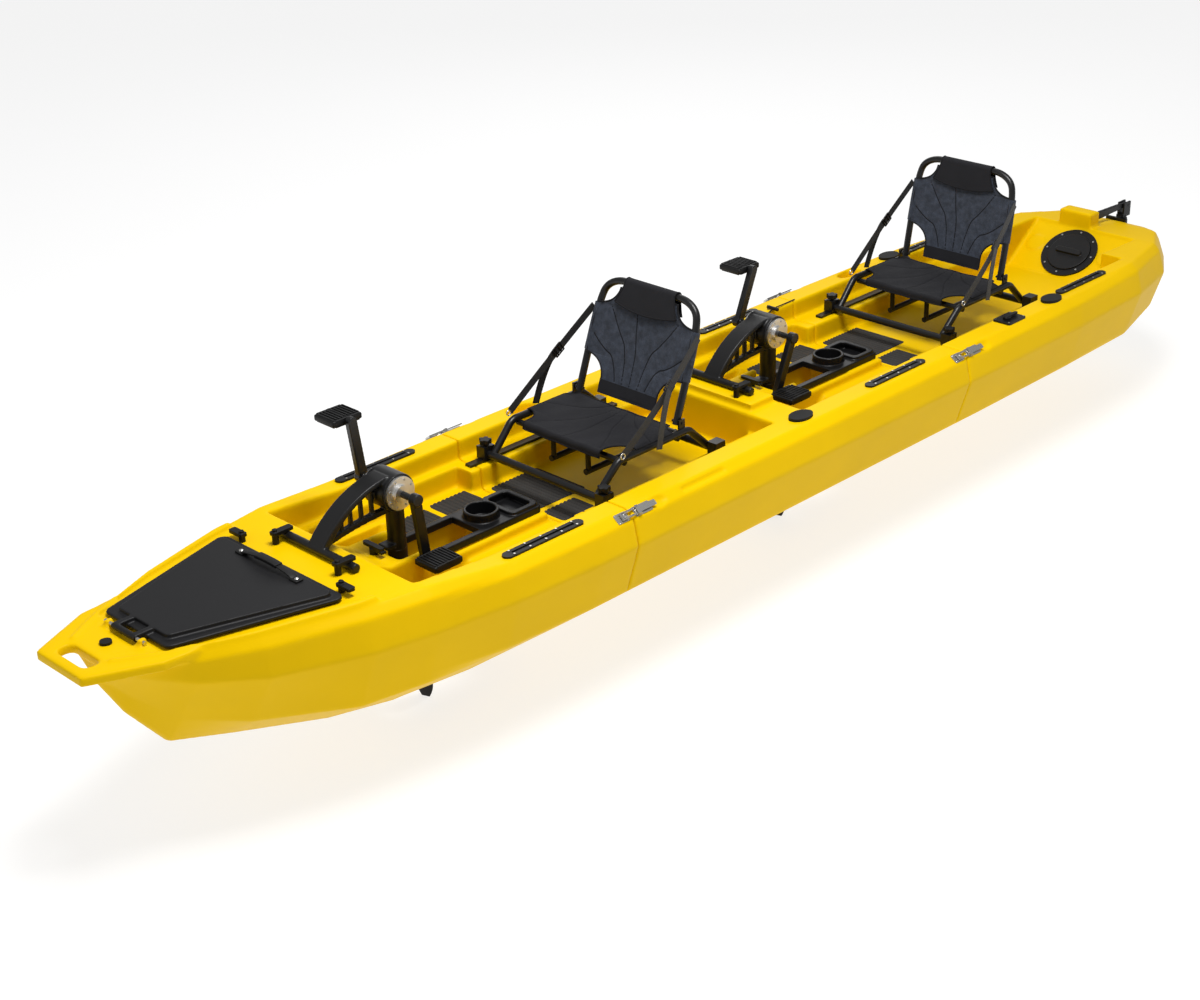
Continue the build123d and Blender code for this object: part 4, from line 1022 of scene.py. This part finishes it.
class KAYAK_OT_chairs(bpy.types.Operator):
    """Backrest hoops, mesh backs, head bands, seat cloth and side straps."""

    bl_idname = "kayak.chairs"
    bl_label = "Chairs"

    # where the outlines turn, up the back and along the seat, and the seams sewn in each, in millimetres
    back_marks = (14 * MM, 50 * MM, 112 * MM, 262 * MM, 318 * MM)
    seat_marks = (16 * MM, 44 * MM, 190 * MM, 262 * MM)
    back_seams = (
        ((-4, 48), (-8, 140), (-26, 210), (-38, 300)),
        ((-34, 48), (-46, 150), (-86, 190), (-132, 258)),
        ((28, 48), (36, 150), (80, 190), (128, 262)),
        ((-62, 50), (-84, 118), (-130, 130), (-178, 168)),
        ((58, 50), (76, 118), (126, 130), (178, 178)))
    seat_seams = (
        ((0, 20), (-4, 110), (4, 200), (0, 280)),
        ((-24, 20), (-46, 110), (-90, 170), (-138, 252)),
        ((24, 20), (46, 110), (90, 170), (138, 252)),
        ((-50, 20), (-90, 70), (-150, 90), (-214, 130)),
        ((50, 20), (90, 70), (150, 90), (214, 130)))

    def execute(self, context):
        settings = context.scene.kayak_cloth
        self.mesh = mesh_finish(settings.mesh_color)
        self.cloth = cloth_finish("coated_cloth", settings.cloth_color)
        self.binding = cloth_finish("binding_tape", scaled(settings.cloth_color, 0.7), 0.9 * MM, 0.1)
        self.webbing = webbing_finish((0.005, 0.005, 0.0055))
        self.tube = coated_finish("chair_tube", (0.005, 0.005, 0.0055), 0.34)
        self.plastic = black_finish("buckle_black", (0.0055, 0.0055, 0.0058), 0.35)
        self.steel = steel_finish("hook_steel", (0.66, 0.65, 0.62), 0.2)
        self.depth = settings.seam_depth
        self.width = settings.webbing_width
        for end, lean in zip(ENDS, (radians(20), radians(11))):
            chair = Chair(end, lean)
            self.hoop(chair)
            self.back_panel(chair)
            self.head_band(chair)
            self.seat_panel(chair)
            self.straps(chair)
        return {"FINISHED"}

    def hoop(self, chair):
        """The bent tube of the backrest, with its pivot bolts."""
        half, top = chair.half, chair.height
        side = [(half + 4 * MM, -9 * MM), (half + 4 * MM, 60 * MM), (half + 3 * MM, top * 0.55),
                (half - 2 * MM, top - 66 * MM), (half - 14 * MM, top - 24 * MM),
                (half - 56 * MM, top - 1 * MM), (half - 106 * MM, top)]
        route = side + [(-y, height) for y, height in reversed(side)]
        tube = tube_piece(f"back_hoop_{chair.end}", [chair.back(y, height) for y, height in route],
                          chair.tube_radius, self.tube, 6)
        settle(tube, f"back_{chair.end}", (f"back_frame_{chair.end}",))
        bm = bmesh.new()
        for side in SIDES:
            heads_into(bm, ((0, 0), (7, 0), (7, 2), (4, 4), (0, 4.4)),
                       [chair.back(side * (half + 14.5 * MM), 0)], (0, side, 0), 16)
        settle(new_piece(f"back_bolts_{chair.end}", bm, self.steel), f"back_{chair.end}")

    def back_panel(self, chair):
        """Stretched mesh, cut away round at its four corners and sewn in a fan."""
        wide, narrow, taper = chair.half, 112 * MM, 3 * MM
        _, foot_cut, side_foot, side_head, top = self.back_marks

        def half_width(height):
            if height <= foot_cut:
                return narrow
            if height < side_foot:
                return bite(height, side_foot, foot_cut, narrow, wide)
            if height <= side_head:
                return wide - taper * (height - side_foot) / (side_head - side_foot)
            return bite(height, side_head, top, narrow, wide - taper)

        seams = [flat_curve(line) for line in self.back_seams]
        groove = seam_groove(seams)

        def point(across, height, share):
            fold = 0.8 * MM * sin(across * 95) * sin(height * 60 + across * 22)
            drawn = chair.hollow(height, share) + self.depth * groove(across, height)
            return chair.back(across, height, 10 * MM - drawn + fold)

        places = stations(self.back_marks, 3.2 * MM)
        panel = cloth_panel(f"back_mesh_{chair.end}", places, half_width, point, self.mesh, 96)
        body = f"back_{chair.end}"
        settle(panel, body, (f"back_sling_{chair.end}",))
        places[-1] - places[0]
        panel_area(places, half_width)
        rim = [point(half_width(h), h, 1.0) for h in places]
        rim += [point(-half_width(h), h, -1.0) for h in reversed(places)]
        settle(piping(f"back_piping_{chair.end}", rim, 2.6 * MM, self.binding), body)
        bm = bmesh.new()
        for line in seams:
            route = [point(a, h, a / half_width(h)) + chair.facing * 1.3 * MM for a, h in line]
            ribbon_into(bm, route, 3.2 * MM, 1.0 * MM, lambda share: Vector((0, 1, 0)))
        settle(new_piece(f"back_seams_{chair.end}", bm, self.binding), body)
        self.sleeves(chair)
        self.lumbar(chair)

    def sleeves(self, chair):
        """Mesh sleeves round the side tubes."""
        bm = bmesh.new()
        for side in SIDES:
            foot = chair.back(side * (chair.half + 3.6 * MM), 116 * MM)
            head = chair.back(side * (chair.half + 0.2 * MM), 258 * MM)
            length = (head - foot).length
            wall = ((11.4 * MM, 0), (12.9 * MM, 0), (13.3 * MM, length / 2), (12.9 * MM, length),
                    (11.4 * MM, length))
            turned_into(bm, wall, foot, head - foot, 32, True)
        obj = new_piece(f"back_sleeves_{chair.end}", bm, self.mesh, 60)
        map_flat(obj, chair.back(0, 0), (0, 1, 0), chair.rise)
        settle(obj, f"back_{chair.end}")

    def lumbar(self, chair):
        """The coated band at the foot of the mesh."""
        half = 113.5 * MM

        def half_width(height):
            return half

        def point(across, height, share):
            return chair.back(across, height, 12.2 * MM - chair.hollow(height, share))

        places = stations((6 * MM, 46 * MM), 4 * MM)
        band = cloth_panel(f"back_band_{chair.end}", places, half_width, point, self.cloth, 60, 1.6 * MM)
        settle(band, f"back_{chair.end}")
        places[-1] - places[0]

    def head_band(self, chair):
        """Black cloth folded over the hoop's top, its front edge cut in a shallow curve."""
        top = chair.height
        radius = 14.2 * MM
        arc = pi * radius
        front, back = 62 * MM, 52 * MM
        narrow, flare = 97 * MM, 24 * MM
        places = stations((0.0, front, front + arc, front + arc + back), 3.2 * MM)

        def half_width(along):
            down = max(front - along, along - front - arc, 0)
            return narrow + flare * (down / front) ** 1.5

        def point(across, along, share):
            dip = -16 * MM * (1 - share * share) * max(0, 1 - along / front)
            if along < front:
                return chair.back(across, top - (front - along) + dip, radius)
            if along > front + arc:
                return chair.back(across, top - (along - front - arc), -radius)
            turn = (along - front) / radius
            return chair.back(across, top + radius * sin(turn), radius * cos(turn))

        band = cloth_panel(f"head_band_{chair.end}", places, half_width, point, self.cloth, 64, 1.6 * MM)
        settle(band, f"back_{chair.end}")
        panel_area(places, half_width)
        edge = piping(f"head_piping_{chair.end}", panel_rim(places, half_width, point, 20), 2.2 * MM,
                      self.binding)
        settle(edge, f"back_{chair.end}")

    def seat_panel(self, chair):
        """Coated cloth over the seat's tubes, with rounded cut-outs at its front corners."""
        wide = chair.seat_half + 4 * MM
        rear, rear_cut, front_cut, front = self.seat_marks
        corner = front - 12 * MM
        drop, roll = 26 * MM, 9 * MM

        def half_width(along):
            if along < rear_cut:
                return bite(along, rear_cut, rear, wide - 38 * MM, wide)
            if along <= front_cut:
                return wide
            return bite(min(along, corner), front_cut, corner, wide - 66 * MM, wide)

        seams = [flat_curve(line) for line in self.seat_seams]
        groove = seam_groove(seams)

        def point(across, along, share):
            reach = min(along, front)
            over = max(0.0, abs(across) - (wide - 15 * MM))
            sag = 11 * MM * (1 - share ** 2) * sin(pi * reach / (front + 10 * MM)) ** 0.8
            fold = 0.9 * MM * sin(across * 70 + along * 30) * (1 - share ** 4)
            lift = 3.4 * MM - sag - self.depth * groove(across, along) - over ** 2 * 18 + fold
            past = along - front
            if past <= 0:
                return chair.seat(reach, across, lift)
            turn = min(past / roll, pi / 2)
            lower = max(0.0, past - roll * pi / 2)
            return chair.seat(front + roll * sin(turn), across, lift - roll * (1 - cos(turn)) - lower)

        places = stations((*self.seat_marks, front + drop), 3.4 * MM)
        panel = cloth_panel(f"seat_cloth_{chair.end}", places, half_width, point, self.cloth, 110, 1.8 * MM)
        body = f"seat_{chair.end}"
        settle(panel, body, (f"seat_sling_{chair.end}",))
        places[-1] - places[0]
        panel_area(places, half_width)
        rim = panel_rim(places, half_width, point, 24)
        settle(piping(f"seat_piping_{chair.end}", rim, 2.6 * MM, self.binding), body)
        bm = bmesh.new()
        for line in seams:
            route = [point(a, x, a / half_width(x)) + Vector((0, 0, 1.5 * MM)) for a, x in line]
            ribbon_into(bm, route, 2.6 * MM, 1.0 * MM, lambda share: Vector((0.2, 1, 0)))
        settle(new_piece(f"seat_seams_{chair.end}", bm, self.binding), body)

    def straps(self, chair):
        """Webbing from the back's shoulders to the seat's front corners, with a buckle and a loose tail."""
        seat_body, back_body = f"seat_{chair.end}", f"back_{chair.end}"
        for side, hand in HANDS:
            head = chair.back(side * (chair.half + 16 * MM), 246 * MM, 4 * MM)
            foot = chair.seat(250 * MM, side * (chair.seat_half + 15 * MM), 8 * MM)
            along = foot - head
            heading = along.normalized()
            flat = Vector((0, side, 0)).cross(along).normalized()
            slack = Vector((0, side * 7 * MM, -5 * MM))
            route = [head + along * share + slack * sin(pi * share)
                     for share in [step / 24 for step in range(25)]]
            bm = bmesh.new()
            ribbon_into(bm, route, self.width, 1.6 * MM, lambda share: flat)
            bmesh.ops.recalc_face_normals(bm, faces=bm.faces)
            buckle_at = route[10]
            tail = [buckle_at + Vector((0, side * (3 + 1.2 * step) * MM, -0.45 * MM * step * step))
                    + heading * 6 * MM * step for step in range(1, 16)]
            ribbon_into(bm, tail, self.width, 1.5 * MM, lambda share: flat)
            strap = new_piece(f"strap_{chair.end}_{hand}", bm, self.webbing)
            map_flat(strap, head, heading, flat)
            buckle = self.buckle(chair, hand, buckle_at, heading, flat)
            for piece in (strap, buckle):
                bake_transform(piece)
            ring = bmesh.new()
            outline = [(8 * MM + 2 * MM * cos(a * pi / 6), 2 * MM * sin(a * pi / 6)) for a in range(12)]
            turned_into(ring, outline, foot + heading * 6 * MM, (0, 1, 0), 24, True)
            settle(new_piece(f"strap_ring_{chair.end}_{hand}", ring, self.steel), seat_body)

    def buckle(self, chair, hand, place, along, flat):
        """A ladder-lock buckle: a frame of four bars and its release bar."""
        out = flat.cross(along).normalized()
        bm = bmesh.new()
        reach, half = 17 * MM, self.width / 2 + 3 * MM
        for shift in (-reach, -reach / 3, reach / 2, reach):
            centre = place + along * shift + out * 1.5 * MM
            rod_into(bm, centre - flat * half, centre + flat * half, 2.4 * MM, 10)
        for edge in (-half, half):
            centre = place + flat * edge + out * 1.5 * MM
            rod_into(bm, centre - along * reach, centre + along * reach, 2.4 * MM, 10)
        return new_piece(f"buckle_{chair.end}_{hand}", bm, self.plastic)


def webbing_finish(color):
    """Woven polyester tape: ribs across its length."""
    finish = Finish("webbing", color, 0.7, sheen_weight=0.25, sheen_roughness=0.4)
    where = finish.place(source="UV")
    warp, _ = weave_relief(finish, 1.4 * MM, where)
    cloud = finish.noise(30.0, 4.0, 0.6, where)
    finish.set("Base Color", finish.shade(cloud, scaled(color, 0.7), scaled(color, 1.6)))
    finish.set("Roughness", 0.62 + 0.2 * cloud)
    return finish.relief(warp, 0.3 * MM, 0.6)


# ---------------------------------------------------------------- pads
class KAYAK_OT_pads(bpy.types.Operator):
    """Ribbed foam pads on the floor and in the front wells."""

    bl_idname = "kayak.pads"
    bl_label = "Ribbed pads"

    def execute(self, context):
        settings = context.scene.kayak_pads
        finish = pad_finish()
        source = merged_copy("floor_pads")
        bm = bmesh.new()
        for group in islands(source):
            low = Vector([min(v.co[i] for v in group) for i in range(3)])
            high = Vector([max(v.co[i] for v in group) for i in range(3)])
            self.pad(bm, low, high, settings.rib_pitch, settings.rib_height)
        source.free()
        pads = new_piece("ribbed_pads", bm, finish, 50)
        settle(pads, "root", ("floor_pads",))
        return {"FINISHED"}

    def pad(self, bm, low, high, pitch, height):
        """One pad: ribs across it and corners rounded in plan."""
        corner = min(14 * MM, (high.y - low.y) / 3)
        ribs = max(3, round((high.x - low.x) / pitch))
        steps = ribs * 6
        length = high.x - low.x
        half = (high.y - low.y) / 2
        middle = (low.y + high.y) / 2
        made = bmesh.ops.create_grid(bm, x_segments=2, y_segments=steps, size=1.0)["verts"]
        for vertex in made:
            share = (vertex.co.y + 1) / 2
            short = max(0.0, corner - min(share, 1 - share) * length)
            inset = corner - sqrt(max(0.0, corner ** 2 - short ** 2))
            wave = 0.5 - 0.5 * cos(2 * pi * ribs * share)
            level = high.z - 0.2 * MM + height * (min(1.0, wave * 1.7) - 1)
            vertex.co = (low.x + share * length, middle + vertex.co.x * (half - inset), level)
        rim = [edge for edge in {e for v in made for e in v.link_edges} if edge.is_boundary]
        skirt = bmesh.ops.extrude_edge_only(bm, edges=rim)["geom"]
        foot = [item for item in skirt if isinstance(item, bmesh.types.BMVert)]
        for vertex in foot:
            vertex.co.z = low.z + 0.1 * MM
        open_edges = {edge for vertex in foot for edge in vertex.link_edges if edge.is_boundary}
        bmesh.ops.holes_fill(bm, edges=list(open_edges), sides=0)


# ---------------------------------------------------------------- latch wires, cord
class KAYAK_OT_latches(bpy.types.Operator):
    """Wire bails and rivets of the four bright toggle latches."""

    bl_idname = "kayak.latches"
    bl_label = "Toggle latches"

    def execute(self, context):
        bright = steel_finish("bright_wire", (0.70, 0.69, 0.66), 0.16)
        for seam, end in ((0.750, "front"), (-0.750, "rear")):
            for side, hand in HANDS:
                bm = bmesh.new()
                self.wires(bm, seam, side)
                settle(new_piece(f"latch_wires_{end}_{hand}", bm, bright, 60), "root")
        return {"FINISHED"}

    def wires(self, bm, seam, side):
        """One bail, its spring bow and eight rivets, on the gunwale's bevel."""
        normal = Vector((0, side * 0.6, 0.8))
        across = Vector((0, side * 0.8, -0.6))
        face = Vector((seam, side * 388 * MM, 368 * MM))

        def place(x, y, z):
            return face + Vector((x * MM, 0, 0)) + across * (y * MM) + normal * (z * MM)

        for y in (-8, 8):
            rod_into(bm, place(-14, y, 7.5), place(28, y * 0.7, 8.5), 1.4 * MM, 10)
        rod_into(bm, place(28, -5.6, 8.5), place(28, 5.6, 8.5), 1.4 * MM, 10)
        rod_into(bm, place(-14, -8, 7.5), place(-14, 8, 7.5), 1.4 * MM, 10)
        rivets = [place(x, y, 2.0) for x in (18, 50, -20, -30) for y in (-11.5, 11.5)]
        heads_into(bm, ((0, 0), (2.4, 0), (2, 1), (1.1, 1.5), (0, 1.7)), rivets, normal, 12)


class KAYAK_OT_cord(bpy.types.Operator):
    """The paddle keeper: an elastic cord with a black toggle bar, at the rear cockpit's starboard side."""

    bl_idname = "kayak.cord"
    bl_label = "Paddle cord"

    route = ((-0.452, -0.293, 0.292), (-0.470, -0.288, 0.318), (-0.520, -0.286, 0.356),
             (-0.580, -0.290, 0.372), (-0.640, -0.300, 0.386), (-0.700, -0.303, 0.3845),
             (-0.760, -0.306, 0.3835))

    def execute(self, context):
        black = cloth_finish("cord_cover", (0.010, 0.010, 0.011), 1.0 * MM)
        plastic = black_finish("cord_bar_black", (0.006, 0.006, 0.006), 0.4)
        curve = smooth_line(self.route)
        curve.bevel_depth = 2 * MM
        curve.bevel_resolution = 3
        curve.use_fill_caps = True
        curve.materials.append(black.material)
        cord = bpy.data.objects.new("paddle_cord", curve)
        context.scene.collection.objects.link(cord)
        settle(cord, "root")
        line = sampled(self.route)
        length = sum((b - a).length for a, b in zip(line, line[1:]))
        bm = bmesh.new()
        rod_into(bm, (-0.640, -0.322, 0.388), (-0.640, -0.276, 0.388), 6 * MM, 20)
        bar = new_piece("paddle_cord_bar", bm, plastic)
        modified(bar, ("BEVEL", {"width": 2 * MM, "segments": 3, "limit_method": "ANGLE"}))
        settle(finish_mesh(bar), "root")
        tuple(self.route[0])
        return {"FINISHED"}


# ---------------------------------------------------------------- fittings that keep their CAD shape
class KAYAK_OT_fittings(bpy.types.Operator):
    """Finishes of the pieces whose CAD shape stays."""

    bl_idname = "kayak.fittings"
    bl_label = "Fittings"

    def execute(self, context):
        plastic = black_finish("moulded_black", (0.0055, 0.0055, 0.006), 0.40)
        rubber = black_finish("soft_rubber", (0.006, 0.006, 0.006), 0.6, 500.0, 0.2)
        coated = coated_finish("satin_black", (0.005, 0.005, 0.0055), 0.34)
        stainless = steel_finish("stainless", (0.62, 0.61, 0.58), 0.22)
        shaft = steel_finish("ground_steel", (0.52, 0.52, 0.53), 0.28)
        disc = turned_finish("turned_aluminium", (0.80, 0.79, 0.77), 0.26)
        lid = grained_finish("lid_grain", (0.006, 0.006, 0.007), 0.40)
        foam = pad_finish()
        cloth = cloth_finish("seat_cloth", context.scene.kayak_cloth.cloth_color)
        weave = mesh_finish(context.scene.kayak_cloth.mesh_color)
        by_slot = {"black_plastic": plastic, "rubber": rubber, "black_frame": coated, "casting": coated,
                   "stainless": stainless, "steel_shaft": shaft, "bright": disc, "lid": lid, "pad": foam,
                   "mesh": weave, "seat_cloth": cloth}
        slots = {entry["node"]: entry["material_slot"] for entry in frame["record"]["subparts"]}
        for name, obj in nodes.items():
            if obj.hide_render:
                continue
            obj.data.materials.clear()
            obj.data.materials.append(by_slot[slots[name]].material)
        return {"FINISHED"}


SETTINGS = {
    "kayak_hull": KayakHullSettings,
    "kayak_cloth": KayakClothSettings,
    "kayak_pads": KayakPadSettings,
}
OPERATORS = (
    KAYAK_OT_stage,
    KAYAK_OT_hull,
    KAYAK_OT_hatch,
    KAYAK_OT_drives,
    KAYAK_OT_mouldings,
    KAYAK_OT_chairs,
    KAYAK_OT_pads,
    KAYAK_OT_latches,
    KAYAK_OT_cord,
    KAYAK_OT_fittings,
)


# ---------------------------------------------------------------- panel and registration
class KAYAK_PT_panel(bpy.types.Panel):
    """Sizes, colours and the operators that build each group."""

    bl_idname = "KAYAK_PT_panel"
    bl_label = "Tandem pedal kayak"
    bl_space_type = "VIEW_3D"
    bl_region_type = "UI"
    bl_category = "Kayak"

    def draw(self, context):
        for group in SETTINGS:
            box = self.layout.box()
            settings = getattr(context.scene, group)
            for key in settings.bl_rna.properties.keys():
                if key not in {"rna_type", "name"}:
                    box.prop(settings, key)
        column = self.layout.column(align=True)
        for operator in OPERATORS:
            column.operator(operator.bl_idname)


def register():
    for entry in (*SETTINGS.values(), *OPERATORS, KAYAK_PT_panel):
        bpy.utils.register_class(entry)
    for name, group in SETTINGS.items():
        setattr(bpy.types.Scene, name, PointerProperty(type=group))


def unregister():
    for name in SETTINGS:
        delattr(bpy.types.Scene, name)
    for entry in (KAYAK_PT_panel, *reversed(OPERATORS), *SETTINGS.values()):
        bpy.utils.unregister_class(entry)


def main():
    register()
    for operator in OPERATORS:
        family, name = operator.bl_idname.split(".")
        getattr(getattr(bpy.ops, family), name)()


if __name__ == "__main__":
    main()
